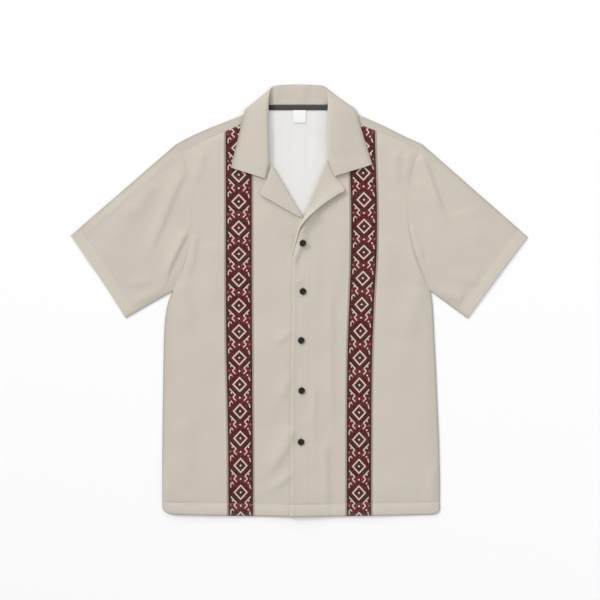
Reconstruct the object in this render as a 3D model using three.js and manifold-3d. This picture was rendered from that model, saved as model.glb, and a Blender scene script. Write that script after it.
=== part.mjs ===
// Camp (cuban) collar shirt with short sleeves, laid flat on its back, front up. Millimetres, +Z up.
// The origin is on the surface that it lies on, at the middle of its outline. -X is the wearer's right.
// Cloth is a wall that is worked out row by row: each row gives the points of its two faces.
import * as THREE from "three";
import { mergeVertices } from "three/addons/utils/BufferGeometryUtils.js";
import Module from "manifold-3d";

const wasm = await Module();
wasm.setup();

// Cloth and spacing
const CLOTH = 1.0; // wall of one panel
const HEM_CLOTH = 1.5; // wall where the hem is turned up twice
const COLLAR_CLOTH = 1.3;
const GAP = 0.3; // between pieces that are sewn or lie together
const ARMHOLE_GAP = 0.55; // along the sleeve, which meets the armhole at a slant
const HEM_DEPTH = 21;
const HEM_STEP = 1.5; // the hem's extra thickness fades over this height
const PUFF = 1.6; // how far the fronts stand off the back away from the seams
const PUFF_RISES = 16; // over about this distance from a seam
const SLEEVE_PUFF = 1.3;
const SLEEVE_RISES = { across: 14, along: 9 }; // how fast a sleeve's top rises from its edges
const SLEEVE_NOSE = 0.008; // share of a sleeve's width that its rounded edges take up

// Body
const HEM_SIDE_Y = -384.3; // hem at the side seams
const HEM_CENTRE_DROP = 4.2; // the hem hangs this much lower at the centre
const HEM_HALF_WIDTH = 240;
const HEM_DROP_FADES = 120;
const ROWS_TILT_FROM_Y = 60; // above this the rows tilt up towards the neck
const UNDERLAP_X = 22; // hidden edge of the right front
const OVERLAP_FADES = 26; // the left front comes down off the right one over this width
const OVERLAP_GAP = 0.8; // between the two fronts, which are curved there
const SEAM_GAP = 0.5; // the fronts stop this far short of the slanted shoulder seam
const NECK_LIFT = 1.7; // the back lies over the collar's fall behind the neck
const NECK_LIFT_FROM = { y: 284, x: 152 }; // where it starts to rise, going up and going in
const NECK_LIFT_RISES = 56;
const NECK_LIFT_ROOM = 1.1; // the fronts rise this much more than the back
const UNDERARM_Y = 18; // where the side seam meets the armhole
const SHOULDER_TIP_Y = 282; // where the armhole meets the shoulder fold
const ARMHOLE_STEPS = 10;
const NECK_SEAM_Y = 356;
const NECK_BLEND = 14; // from the shoulder fold to the neck seam
const TURN_ENDS = 0.004; // share of the shoulder left free at each end of the turned strip
const SHOULDER_LIP = 1.6; // the flat part of the back ends this far short of the shoulder fold
const TURN = { strips: 8, overlap: 8, outerBend: 1.2, innerBend: 2 }; // the back's turn at the fold

// Buttons
const BUTTON = { radius: 6.3, thick: 2.4, rim: 1.1, dish: 0.7, sides: 18 };
const BUTTON_GAP = 0.5; // above the front, which is curved under it
const BUTTONS = [
  { x: 6.2, y: 103.5 },
  { x: 6.4, y: 17.1 },
  { x: 3.4, y: -70.9 },
  { x: 4.1, y: -161.1 },
  { x: 3.0, y: -253.3 },
];

// Neck tape and label, both sewn flat inside the back
const TAPE = { left: -54.5, right: 50, low: 343.4, high: 352, thick: 1.0, steps: 12 };
const LABEL = { left: -10.8, right: 11.2, low: 320.2, high: 343, thick: 1.0, steps: 2 };

// Outer edge of the body on each side, from the hem up: side seam, then armhole to the shoulder
const RIGHT_EDGE = [
  { y: -384.3, x: -230.5 },
  { y: -381.2, x: -238.5 },
  { y: -376, x: -243 },
  { y: -366, x: -245.8 },
  { y: -340, x: -246.5 },
  { y: -268, x: -246.4 },
  { y: -181.8, x: -245.4 },
  { y: -106.2, x: -244.2 },
  { y: -52.2, x: -242.8 },
  { y: -19.8, x: -239.6 },
  { y: 1.8, x: -234.5 },
  { y: 18, x: -227.5 },
  { y: 52.2, x: -213.1 },
  { y: 91.8, x: -200.5 },
  { y: 131.4, x: -194.4 },
  { y: 172.8, x: -193.2 },
  { y: 208.8, x: -196.2 },
  { y: 239.4, x: -202.8 },
  { y: 268.2, x: -213.6 },
  { y: 282, x: -222 },
];
const LEFT_EDGE = [
  { y: -384.3, x: 236 },
  { y: -380.8, x: 246.4 },
  { y: -375.5, x: 250.6 },
  { y: -366, x: 252 },
  { y: -340, x: 252.3 },
  { y: -268, x: 251.3 },
  { y: -181.8, x: 247.9 },
  { y: -106.2, x: 244.6 },
  { y: -52.2, x: 241.8 },
  { y: -19.8, x: 240.2 },
  { y: 1.8, x: 238.4 },
  { y: 18, x: 235.2 },
  { y: 55.8, x: 218.9 },
  { y: 88.2, x: 206.5 },
  { y: 118.8, x: 199.3 },
  { y: 154.8, x: 195.5 },
  { y: 199.8, x: 197.3 },
  { y: 235.8, x: 203.2 },
  { y: 264.6, x: 213.5 },
  { y: 282, x: 221.2 },
];
// Inner edge of each front: front edge, roll line of the lapel, then the neck seam under the collar
const RIGHT_INNER = [
  { y: -390, x: UNDERLAP_X },
  { y: 60, x: UNDERLAP_X },
  { y: 118, x: 21 },
  { y: 149.4, x: 5.4 },
  { y: 196, x: -22.6 },
  { y: 243, x: -51.5 },
  { y: 262, x: -59.5 },
  { y: 300, x: -62.5 },
  { y: 338, x: -66 },
];
const LEFT_INNER = [
  { y: -390, x: -14.6 },
  { y: -138.6, x: -13.7 },
  { y: -28.8, x: -11.2 },
  { y: 73.8, x: -10.4 },
  { y: 97, x: -9.6 },
  { y: 111.6, x: -7.5 },
  { y: 126, x: -2.5 },
  { y: 140, x: 4.7 },
  { y: 153, x: 10.4 },
  { y: 204, x: 31 },
  { y: 255, x: 52 },
  { y: 275, x: 58.5 },
  { y: 305, x: 60 },
  { y: 336, x: 63 },
];
// The shoulder fold, and the seam in front of it that the back comes over to
const SHOULDERS = {
  right: [
    { foldX: -222, foldY: 282, seamX: -213.8, seamY: 268.8 },
    { foldX: -193.3, foldY: 297, seamX: -188, seamY: 280.4 },
    { foldX: -160.9, foldY: 311.4, seamX: -158, seamY: 294 },
    { foldX: -129, foldY: 323.9, seamX: -128, seamY: 307.5 },
    { foldX: -101.5, foldY: 334.8, seamX: -101.5, seamY: 319.5 },
    { foldX: -74.5, foldY: 348.3, seamX: -74.5, seamY: 331.7 },
  ],
  left: [
    { foldX: 221.2, foldY: 282, seamX: 216.4, seamY: 271.4 },
    { foldX: 188.3, foldY: 297, seamX: 185.4, seamY: 287 },
    { foldX: 159.5, foldY: 311.4, seamX: 157.6, seamY: 298.8 },
    { foldX: 133, foldY: 323.4, seamX: 132, seamY: 308.6 },
    { foldX: 101, foldY: 337, seamX: 101, seamY: 319.4 },
    { foldX: 73.1, foldY: 348.3, seamX: 73.1, seamY: 328.6 },
  ],
};

// Each sleeve: armhole end is the body's edge, cuff end from the fold at its top to the underarm seam
const CUFFS = {
  right: [
    { s: 0, x: -411.5, y: 117.4 },
    { s: 0.28, x: -385.6, y: 78.8 },
    { s: 0.62, x: -353.6, y: 33.2 },
    { s: 1, x: -312.4, y: -30.4 },
  ],
  left: [
    { s: 0, x: 411.5, y: 114.6 },
    { s: 0.3, x: 382.8, y: 77.2 },
    { s: 0.64, x: 345.4, y: 27.4 },
    { s: 1, x: 302.6, y: -31.2 },
  ],
};

// Soft folds: a ridge (height over 0) or a trough (under 0) along a line, as wide as half each way
const FRONT_FOLDS = [
  { x1: -170, y1: 263, x2: -179, y2: 218, half: 7, height: 1.2 },
  { x1: -181, y1: 113, x2: -192, y2: 43, half: 6, height: -1.1 },
  { x1: -212, y1: 36, x2: -196, y2: -70, half: 12, height: 1.6 },
  { x1: -17, y1: -61, x2: -41, y2: -78, half: 6, height: 1.2 },
  { x1: -17, y1: -139, x2: -33, y2: -176, half: 7, height: 1.3 },
  { x1: -25, y1: -244, x2: -60, y2: -308, half: 8, height: 2.0 },
  { x1: -20, y1: -317, x2: -50, y2: -337, half: 6, height: 1.2 },
  { x1: 56, y1: 30, x2: 57, y2: -250, half: 11, height: 1.8 },
  { x1: 48, y1: -262, x2: 47, y2: -372, half: 7, height: 1.8 },
  { x1: 26, y1: -160, x2: 27, y2: -212, half: 6, height: 1.0 },
  { x1: 176, y1: 266, x2: 172, y2: 212, half: 7, height: 1.2 },
  { x1: 208, y1: 128, x2: 222, y2: 74, half: 6, height: -1.0 },
  { x1: 214, y1: 30, x2: 196, y2: -80, half: 12, height: 1.5 },
  { x1: 150, y1: 120, x2: 160, y2: 20, half: 14, height: 1.0 },
  { x1: -150, y1: 110, x2: -158, y2: -10, half: 14, height: 1.0 },
  { x1: 243, y1: -300, x2: 238, y2: -376, half: 7, height: 1.3 },
];
const SLEEVE_FOLDS = [
  { x1: -213, y1: 223, x2: -254, y2: 122, half: 8, height: 1.9 },
  { x1: -254, y1: 122, x2: -276, y2: 74, half: 8, height: 1.5 },
  { x1: -262, y1: 30, x2: -318, y2: 22, half: 8, height: 1.0 },
  { x1: 224, y1: 256, x2: 257, y2: 182, half: 8, height: 1.9 },
  { x1: 257, y1: 182, x2: 268, y2: 150, half: 8, height: 1.4 },
  { x1: 246, y1: 25, x2: 306, y2: 4, half: 8, height: 1.4 },
];

// Lapels, where the facing is turned out: a row from the roll line to the free edge, from the V up
const LAPELS = {
  right: [
    { rollX: 4.6, rollY: 150.6, edgeX: -2.4, edgeY: 152.6 },
    { rollX: -4, rollY: 164.6, edgeX: -17, edgeY: 161 },
    { rollX: -16, rollY: 184.8, edgeX: -36, edgeY: 171.8 },
    { rollX: -28, rollY: 205, edgeX: -53, edgeY: 181.6 },
    { rollX: -38, rollY: 221.6, edgeX: -66.6, edgeY: 189.6 },
    { rollX: -44, rollY: 231.8, edgeX: -69.8, edgeY: 195.6 },
    { rollX: -48, rollY: 238.4, edgeX: -65.6, edgeY: 206 },
    { rollX: -50.6, rollY: 243, edgeX: -58.6, edgeY: 219 },
  ],
  left: [
    { rollX: -7.6, rollY: 112, edgeX: -2.4, edgeY: 110 },
    { rollX: -2.4, rollY: 126.4, edgeX: 5.6, edgeY: 131 },
    { rollX: 5.2, rollY: 141.4, edgeX: 16, edgeY: 148 },
    { rollX: 12.4, rollY: 158.4, edgeX: 30, edgeY: 163 },
    { rollX: 20.4, rollY: 178.4, edgeX: 47, edgeY: 177 },
    { rollX: 30.2, rollY: 202.4, edgeX: 68, edgeY: 191 },
    { rollX: 38.4, rollY: 222.4, edgeX: 80.8, edgeY: 199 },
    { rollX: 44.4, rollY: 237.4, edgeX: 77.4, edgeY: 207 },
    { rollX: 48, rollY: 246, edgeX: 71.6, edgeY: 215.4 },
    { rollX: 51, rollY: 252.6, edgeX: 65.4, edgeY: 222 },
  ],
};
const LAPEL_WALL = 1.6; // front and facing together
const LAPEL_ROLL = 1.2; // extra thickness of the soft roll
const LAPEL_GAP = 0.6; // above the front, which is curved under it
const LAPEL_NOSE = 1.4; // the roll stands this far past the front's edge
const LAPEL_NOSE_THINS = 0.9; // each face comes in this much at the roll's tip
const LAPEL_ROLL_ENDS = 0.6; // share of the width
const LAPEL_ACROSS = [0, 0.08, 0.25, 0.45, 0.65, 0.85, 1];
const LAPEL_ROWS = 14;

// Collar, from the right notch round the back of the neck to the left notch. Each row runs from the free
// edge of the fall over the roll line to the neck seam. turn > 0 puts the fall over the stand, as on the
// leaves in front, and turn < 0 puts it under the stand, as behind the neck.
const COLLAR = [
  { fx: -122.6, fy: 239.8, fz: 5.2, rx: -61.8, ry: 220.2, rz: 6.9, nx: -68, ny: 227, nz: 5.3, turn: 1.2 },
  { fx: -119.6, fy: 252.4, fz: 5.2, rx: -58.6, ry: 233, rz: 7.2, nx: -66, ny: 239, nz: 5.3, turn: 1.7 },
  { fx: -116.4, fy: 265.6, fz: 5.2, rx: -55.6, ry: 247, rz: 7.3, nx: -66, ny: 252, nz: 5.3, turn: 1.9 },
  { fx: -112.4, fy: 282, fz: 5.2, rx: -55.9, ry: 268, rz: 7.3, nx: -68, ny: 272, nz: 5.3, turn: 2 },
  { fx: -107.8, fy: 301, fz: 5.2, rx: -56.7, ry: 292, rz: 7.3, nx: -71, ny: 295, nz: 5.3, turn: 2 },
  { fx: -103.5, fy: 319, fz: 5.3, rx: -57.3, ry: 318, rz: 7.3, nx: -74, ny: 317, nz: 5.4, turn: 2 },
  { fx: -99.4, fy: 335.6, fz: 5.3, rx: -57.4, ry: 344, rz: 7.2, nx: -73, ny: 337, nz: 5.4, turn: 1.8 },
  { fx: -97.2, fy: 342, fz: 4.6, rx: -56.4, ry: 364, rz: 6.8, nx: -69, ny: 346, nz: 4.8, turn: 1.2 },
  { fx: -94.8, fy: 346, fz: 3, rx: -52.4, ry: 380.6, rz: 5.8, nx: -64, ny: 352.5, nz: 4.3, turn: 0 },
  { fx: -84, fy: 346.6, fz: 0.7, rx: -44, ry: 386.2, rz: 4.2, nx: -52, ny: 354.2, nz: 3.9, turn: -1.2 },
  { fx: -62, fy: 345, fz: 0.66, rx: -30, ry: 387.6, rz: 3.6, nx: -36, ny: 353.8, nz: 3.8, turn: -1.9 },
  { fx: -32, fy: 343.4, fz: 0.65, rx: -15, ry: 388.3, rz: 3.4, nx: -18, ny: 354, nz: 3.8, turn: -2 },
  { fx: 0, fy: 343, fz: 0.65, rx: 0, ry: 388.5, rz: 3.4, nx: 0, ny: 354, nz: 3.8, turn: -2 },
  { fx: 32, fy: 343.4, fz: 0.65, rx: 15, ry: 388.2, rz: 3.4, nx: 17, ny: 354, nz: 3.8, turn: -2 },
  { fx: 62, fy: 345, fz: 0.66, rx: 30, ry: 387.4, rz: 3.6, nx: 34, ny: 353.8, nz: 3.8, turn: -1.9 },
  { fx: 85, fy: 347.4, fz: 0.7, rx: 42, ry: 386, rz: 4.2, nx: 49, ny: 354.2, nz: 3.9, turn: -1.2 },
  { fx: 95.8, fy: 347.6, fz: 3, rx: 49.6, ry: 380.6, rz: 5.8, nx: 60, ny: 352.5, nz: 4.3, turn: 0 },
  { fx: 100.6, fy: 342.6, fz: 4.6, rx: 51.6, ry: 364, rz: 6.8, nx: 65, ny: 346, nz: 4.8, turn: 1.2 },
  { fx: 104.6, fy: 333.4, fz: 5.3, rx: 51.9, ry: 344, rz: 7.2, nx: 69, ny: 337, nz: 5.4, turn: 1.8 },
  { fx: 108, fy: 319, fz: 5.3, rx: 51.8, ry: 318, rz: 7.3, nx: 70, ny: 317, nz: 5.4, turn: 2 },
  { fx: 114.2, fy: 298, fz: 5.2, rx: 51.6, ry: 294, rz: 7.3, nx: 67, ny: 297, nz: 5.3, turn: 2 },
  { fx: 120, fy: 279, fz: 5.2, rx: 51.6, ry: 274, rz: 7.3, nx: 66, ny: 278, nz: 5.3, turn: 2 },
  { fx: 124.8, fy: 263.4, fz: 5.2, rx: 53.4, ry: 256.6, rz: 7.3, nx: 65, ny: 262, nz: 5.3, turn: 1.9 },
  { fx: 128, fy: 253.4, fz: 5.2, rx: 60.2, ry: 240.4, rz: 7.2, nx: 69, ny: 246, nz: 5.3, turn: 1.7 },
  { fx: 130.6, fy: 245.4, fz: 5.2, rx: 67, ry: 226.2, rz: 6.9, nx: 74, ny: 232, nz: 5.3, turn: 1.2 },
];
const COLLAR_TURN_REACH = 5; // plan distance from the roll line to where the turn ends
const COLLAR_TURN_SHARE = 0.45; // of the stand or fall, at most
const COLLAR_STEPS = { around: 40, across: 10 };

const PALETTE = {
  cloth: new THREE.MeshStandardMaterial({ color: 0xcfc7b9, roughness: 0.86, metalness: 0 }),
  inside: new THREE.MeshStandardMaterial({ color: 0xe6e3dc, roughness: 0.88, metalness: 0 }),
  tape: new THREE.MeshStandardMaterial({ color: 0x3c3c3c, roughness: 0.8, metalness: 0 }),
  label: new THREE.MeshStandardMaterial({ color: 0xf2f1ec, roughness: 0.6, metalness: 0 }),
  button: new THREE.MeshStandardMaterial({ color: 0x1e2021, roughness: 0.35, metalness: 0 }),
};

const lerp = THREE.MathUtils.lerp;
const smooth = (t) => THREE.MathUtils.smoothstep(t, 0, 1);
const range = (count) => Array.from({ length: count + 1 }, (_, i) => i / count);

// Reads one column of a table at a value of its key column, on a smooth curve through the rows.
function read(table, key, column, at) {
  const up = table[table.length - 1][key] > table[0][key] ? 1 : -1;
  const last = table.length - 2;
  let i = table.findIndex((row, k) => k > 0 && (row[key] - at) * up >= 0) - 1;
  i = i < 0 ? (up * (at - table[0][key]) < 0 ? 0 : last) : Math.min(i, last);
  const rate = (k) => (table[k + 1][column] - table[k][column]) / (table[k + 1][key] - table[k][key]);
  const slope = (k) => {
    const before = rate(Math.max(k - 1, 0));
    const after = rate(Math.min(k, last));
    if (before * after <= 0) {
      return 0;
    }
    const least = 3 * Math.min(Math.abs(before), Math.abs(after));
    return Math.sign(after) * Math.min(Math.abs(before + after) / 2, least);
  };
  const span = table[i + 1][key] - table[i][key];
  const t = THREE.MathUtils.clamp((at - table[i][key]) / span, 0, 1);
  const t2 = t * t;
  const t3 = t2 * t;
  return (
    (2 * t3 - 3 * t2 + 1) * table[i][column] +
    (t3 - 2 * t2 + t) * span * slope(i) +
    (3 * t2 - 2 * t3) * table[i + 1][column] +
    (t3 - t2) * span * slope(i + 1)
  );
}

// Height of all soft folds of a list at a point.
function foldsAt(folds, x, y) {
  let height = 0;
  for (const fold of folds) {
    const dx = fold.x2 - fold.x1;
    const dy = fold.y2 - fold.y1;
    const length = Math.hypot(dx, dy);
    const along = ((x - fold.x1) * dx + (y - fold.y1) * dy) / length;
    const off = ((x - fold.x1) * dy - (y - fold.y1) * dx) / length;
    const past = Math.max(-along, along - length, 0);
    const away = Math.hypot(off / fold.half, past / (2 * fold.half));
    height += fold.height * Math.exp(-away * away);
  }
  return height;
}

// The back's upper face rises behind the neck, where the collar's fall lies under it.
function neckLift(x, y) {
  const up = smooth((y - NECK_LIFT_FROM.y) / NECK_LIFT_RISES);
  const inward = smooth((NECK_LIFT_FROM.x - Math.abs(x)) / NECK_LIFT_RISES);
  return NECK_LIFT * up * inward;
}

const sideOf = (x) => (x < 0 ? "right" : "left");
const seamY = (x) => read(SHOULDERS[sideOf(x)], "seamX", "seamY", x);
const foldY = (x) => read(SHOULDERS[sideOf(x)], "foldX", "foldY", x);

// Outer edge of the body. Fronts, back and sleeves share one run of points round each armhole.
function edgeX(side, y) {
  const table = side === "right" ? RIGHT_EDGE : LEFT_EDGE;
  if (y <= UNDERARM_Y) {
    return read(table, "y", "x", y);
  }
  const step = (SHOULDER_TIP_Y - UNDERARM_Y) / ARMHOLE_STEPS;
  const low = UNDERARM_Y + step * Math.min(Math.floor((y - UNDERARM_Y) / step), ARMHOLE_STEPS - 1);
  const [from, to] = [low, low + step].map((at) => read(table, "y", "x", at));
  return lerp(from, to, (y - low) / step);
}

// Underside of the fronts: on the back at the seams, standing off it between them.
function bed(x, y) {
  const edge = edgeX(sideOf(x), y);
  const inward = Math.max(Math.abs(edge) - Math.abs(x), 0);
  const below = Math.max(seamY(x) - y, 0);
  const free = (1 - Math.exp(-inward / PUFF_RISES)) * (1 - Math.exp(-below / PUFF_RISES));
  const onBack = CLOTH + GAP + NECK_LIFT_ROOM * neckLift(x, y);
  return onBack + free * (PUFF + foldsAt(FRONT_FOLDS, x, y));
}

// Wall of the fronts, thicker in the hem.
function frontWall(x, y) {
  const hemY = HEM_SIDE_Y - HEM_CENTRE_DROP * (1 - Math.abs(x) / HEM_HALF_WIDTH);
  return lerp(HEM_CLOTH, CLOTH, smooth((y - hemY - HEM_DEPTH) / HEM_STEP));
}

// The left front lies over the right one along the front edge.
function overlap(x, y) {
  const ends = read(RIGHT_INNER, "y", "x", y) + 2;
  return (frontWall(x, y) + OVERLAP_GAP) * smooth(1 - (x - ends) / OVERLAP_FADES);
}

const frontBottom = { right: bed, left: (x, y) => bed(x, y) + overlap(x, y) };
const frontTop = {
  right: (x, y) => frontBottom.right(x, y) + CLOTH,
  left: (x, y) => frontBottom.left(x, y) + CLOTH,
};

// A closed wall from rows of points on its two faces. A ring joins each row's end to its start.
function wallGeometry(rows, ring = false) {
  const count = rows[0].outer.length;
  const points = [];
  for (const row of rows) {
    points.push(...row.outer, ...row.inner);
  }
  const at = (i, j, face) => i * 2 * count + face * count + (j % count);
  const index = [];
  const quad = (a, b, c, d) => index.push(a, b, c, a, c, d);
  const across = ring ? count : count - 1;
  for (let i = 0; i < rows.length - 1; i++) {
    for (let j = 0; j < across; j++) {
      quad(at(i, j, 0), at(i, j + 1, 0), at(i + 1, j + 1, 0), at(i + 1, j, 0));
      quad(at(i, j, 1), at(i + 1, j, 1), at(i + 1, j + 1, 1), at(i, j + 1, 1));
    }
    if (!ring) {
      quad(at(i, 0, 0), at(i + 1, 0, 0), at(i + 1, 0, 1), at(i, 0, 1));
      quad(at(i, count - 1, 0), at(i, count - 1, 1), at(i + 1, count - 1, 1), at(i + 1, count - 1, 0));
    }
  }
  const end = rows.length - 1;
  for (let j = 0; j < across; j++) {
    quad(at(0, j, 0), at(0, j, 1), at(0, j + 1, 1), at(0, j + 1, 0));
    quad(at(end, j, 0), at(end, j + 1, 0), at(end, j + 1, 1), at(end, j, 1));
  }
  const geometry = new THREE.BufferGeometry().setFromPoints(points);
  geometry.setIndex(index);
  return facedOut(geometry);
}

// Turns the faces round if they point inwards.
function facedOut(geometry) {
  const position = geometry.getAttribute("position");
  const index = geometry.getIndex();
  const corners = [new THREE.Vector3(), new THREE.Vector3(), new THREE.Vector3()];
  let volume = 0;
  for (let i = 0; i < index.count; i += 3) {
    corners.forEach((corner, k) => corner.fromBufferAttribute(position, index.getX(i + k)));
    volume += corners[0].dot(corners[1].clone().cross(corners[2]));
  }
  if (volume < 0) {
    geometry.setIndex(Array.from(index.array).reverse());
  }
  geometry.computeVertexNormals();
  return geometry;
}

// Joins closed geometries into one.
function joined(geometries) {
  const solids = geometries.map((geometry) => {
    const bare = new THREE.BufferGeometry();
    bare.setAttribute("position", geometry.getAttribute("position"));
    bare.setIndex(geometry.getIndex());
    const merged = mergeVertices(bare, 1e-4);
    return new wasm.Manifold(
      new wasm.Mesh({
        numProp: 3,
        vertProperties: merged.getAttribute("position").array,
        triVerts: new Uint32Array(merged.getIndex().array),
      }),
    );
  });
  const mesh = solids.reduce((whole, solid) => whole.add(solid)).getMesh();
  const geometry = new THREE.BufferGeometry();
  geometry.setAttribute("position", new THREE.BufferAttribute(mesh.vertProperties, 3));
  geometry.setIndex(new THREE.BufferAttribute(mesh.triVerts, 1));
  geometry.computeVertexNormals();
  return geometry;
}

// A flat piece that lies over others: rows of plan points, and the heights of its two faces.
function layeredWall(planRows, bottomAt, topAt) {
  return wallGeometry(
    planRows.map((row) => ({
      outer: row.map(([x, y]) => new THREE.Vector3(x, y, topAt(x, y))),
      inner: row.map(([x, y]) => new THREE.Vector3(x, y, bottomAt(x, y))),
    })),
  );
}

// Row heights at the side of the body, close together at the hem and through the armhole.
function bodyRowHeights(top) {
  const hem = [0, 3.1, 8.3, HEM_DEPTH - 1, HEM_DEPTH + 1.5].map((rise) => HEM_SIDE_Y + rise);
  const side = range(13).slice(1).map((t) => lerp(hem.at(-1), UNDERARM_Y, t));
  const arm = range(ARMHOLE_STEPS).slice(1, -1).map((t) => lerp(UNDERARM_Y, SHOULDER_TIP_Y, t));
  return [...hem, ...side, ...arm, top];
}

function frontPanel(side) {
  const inner = side === "right" ? RIGHT_INNER : LEFT_INNER;
  const tip = SHOULDERS[side][0].seamY - SEAM_GAP;
  const neck = SHOULDERS[side].at(-1).seamY - SEAM_GAP;
  const columns = range(13);
  const rows = bodyRowHeights(tip).map((y) => {
    const drop = HEM_CENTRE_DROP * (1 - smooth((y - HEM_SIDE_Y) / HEM_DROP_FADES));
    const tilt = smooth((y - ROWS_TILT_FROM_Y) / (tip - ROWS_TILT_FROM_Y));
    const from = edgeX(side, y);
    const to = read(inner, "y", "x", y - drop + tilt * (neck - tip));
    return columns.map((u) => {
      const x = lerp(from, to, u);
      return [x, y - drop * u + tilt * (seamY(x) - SEAM_GAP - tip)];
    });
  });
  const bottom = frontBottom[side];
  return layeredWall(rows, bottom, (x, y) => bottom(x, y) + frontWall(x, y));
}

// The back's top edge: the shoulder folds, and the neck seam between them.
function backTopY(x) {
  const neckEnds = { right: SHOULDERS.right.at(-1).foldX, left: SHOULDERS.left.at(-1).foldX };
  if (x > neckEnds.right && x < neckEnds.left) {
    const t = Math.min((x - neckEnds.right) / NECK_BLEND, (neckEnds.left - x) / NECK_BLEND, 1);
    return lerp(SHOULDERS.right.at(-1).foldY, NECK_SEAM_Y, smooth(t));
  }
  return foldY(x);
}

function backPanel() {
  const tip = SHOULDER_TIP_Y;
  const columns = range(18);
  const rows = bodyRowHeights(tip - SHOULDER_LIP).map((y) => {
    const drop = HEM_CENTRE_DROP * (1 - smooth((y - HEM_SIDE_Y) / HEM_DROP_FADES));
    const tilt = smooth((y - ROWS_TILT_FROM_Y) / (tip - SHOULDER_LIP - ROWS_TILT_FROM_Y));
    const from = edgeX("right", y);
    const to = edgeX("left", y);
    return columns.map((u) => {
      const x = lerp(from, to, u);
      const sag = drop * (1 - Math.abs(2 * u - 1));
      return [x, y - sag + tilt * (backTopY(x) - tip)];
    });
  });
  const panel = layeredWall(rows, neckLift, (x, y) => neckLift(x, y) + CLOTH);
  return joined([panel, shoulderTurn("right"), shoulderTurn("left")]);
}

// The back comes up round the shoulder fold and forward to the front shoulder seam.
function shoulderTurn(side) {
  const table = SHOULDERS[side];
  const { strips, overlap, outerBend, innerBend } = TURN;
  const low = CLOTH + GAP;
  const high = low + CLOTH;
  const middle = CLOTH + GAP / 2;
  const rows = range(strips).map((t) => {
    const along = lerp(TURN_ENDS, 1 - TURN_ENDS, t);
    const foldX = lerp(table[0].foldX, table.at(-1).foldX, along);
    const seamX = lerp(table[0].seamX, table.at(-1).seamX, along);
    const fold = new THREE.Vector2(foldX, foldY(foldX));
    const seam = new THREE.Vector2(seamX, seamY(seamX));
    const depth = fold.distanceTo(seam) - GAP;
    const point = (into, z) => {
      const { x, y } = fold.clone().lerp(seam, into / depth);
      return new THREE.Vector3(x, y, z + neckLift(x, y));
    };
    const under = [point(overlap, 0), point(outerBend, 0)];
    const over = [point(outerBend, high), point(depth, high)];
    const underInside = [point(overlap, CLOTH), point(innerBend, CLOTH)];
    const overInside = [point(innerBend, low), point(depth, low)];
    return {
      outer: [...under, point(0, middle), ...over],
      inner: [...underInside, point(outerBend, middle), ...overInside],
    };
  });
  return wallGeometry(rows);
}

// A sleeve is a flattened tube from the armhole to the cuff, flat underneath, with folds on top.
function sleeve(side) {
  const cuff = CUFFS[side];
  const plan = (s, t) => {
    const y = lerp(SHOULDER_TIP_Y, UNDERARM_Y, s);
    const x = edgeX(side, y);
    const cuffX = read(cuff, "s", "x", s);
    const cuffY = read(cuff, "s", "y", s);
    const length = Math.hypot(cuffX - x, cuffY - y);
    const along = lerp(ARMHOLE_GAP / length, 1, t);
    return [lerp(x, cuffX, along), lerp(y, cuffY, along), length * (1 - along)];
  };
  const across = [0.012, 0.05, ...range(ARMHOLE_STEPS).slice(1, -1), 0.95, 0.988];
  const stations = [0, 0.06, 0.16, 0.28, 0.4, 0.52, 0.64, 0.76, 0.888, 0.905, 1];
  const nose = CLOTH + GAP / 2;
  const rows = stations.map((t) => {
    const ring = { outer: [], inner: [] };
    const put = (s, outerZ, innerZ, inset = 0) => {
      const [x, y] = plan(s, t);
      const [ix, iy] = plan(s + inset, t);
      ring.outer.push(new THREE.Vector3(x, y, outerZ));
      ring.inner.push(new THREE.Vector3(ix, iy, innerZ));
    };
    put(0, nose, nose, SLEEVE_NOSE);
    for (const s of across) {
      const [x, y, left] = plan(s, t);
      const free = 1 - Math.exp(-Math.min(s, 1 - s) * SLEEVE_RISES.across);
      const soft = 1 - Math.exp(-t * SLEEVE_RISES.along);
      const inner = CLOTH + GAP + free * soft * (SLEEVE_PUFF + foldsAt(SLEEVE_FOLDS, x, y));
      const wall = lerp(HEM_CLOTH, CLOTH, smooth((left - HEM_DEPTH) / HEM_STEP));
      put(s, inner + wall, inner);
    }
    put(1, nose, nose, -SLEEVE_NOSE);
    for (const s of [...across].reverse()) {
      put(s, 0, CLOTH);
    }
    return ring;
  });
  return wallGeometry(rows, true);
}

// The facing turned out over the front along the roll line.
function lapel(side) {
  const table = LAPELS[side].map((row, i) => ({ ...row, i }));
  const inward = side === "right" ? 1 : -1;
  const stations = range(LAPEL_ROWS).map((t) => t * (table.length - 1));
  const rows = stations.map((at) => {
    const roll = [read(table, "i", "rollX", at) + inward * LAPEL_NOSE, read(table, "i", "rollY", at)];
    const edge = [read(table, "i", "edgeX", at), read(table, "i", "edgeY", at)];
    const row = { outer: [], inner: [] };
    for (const u of LAPEL_ACROSS) {
      const x = lerp(roll[0], edge[0], u);
      const y = lerp(roll[1], edge[1], u);
      const nose = u === 0 ? LAPEL_NOSE_THINS : 0;
      const base = frontTop[side](x, y) + LAPEL_GAP;
      const thick = LAPEL_WALL + LAPEL_ROLL * (1 - smooth(u / LAPEL_ROLL_ENDS));
      row.outer.push(new THREE.Vector3(x, y, base + thick - nose));
      row.inner.push(new THREE.Vector3(x, y, base + nose));
    }
    return row;
  });
  return wallGeometry(rows);
}

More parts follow.
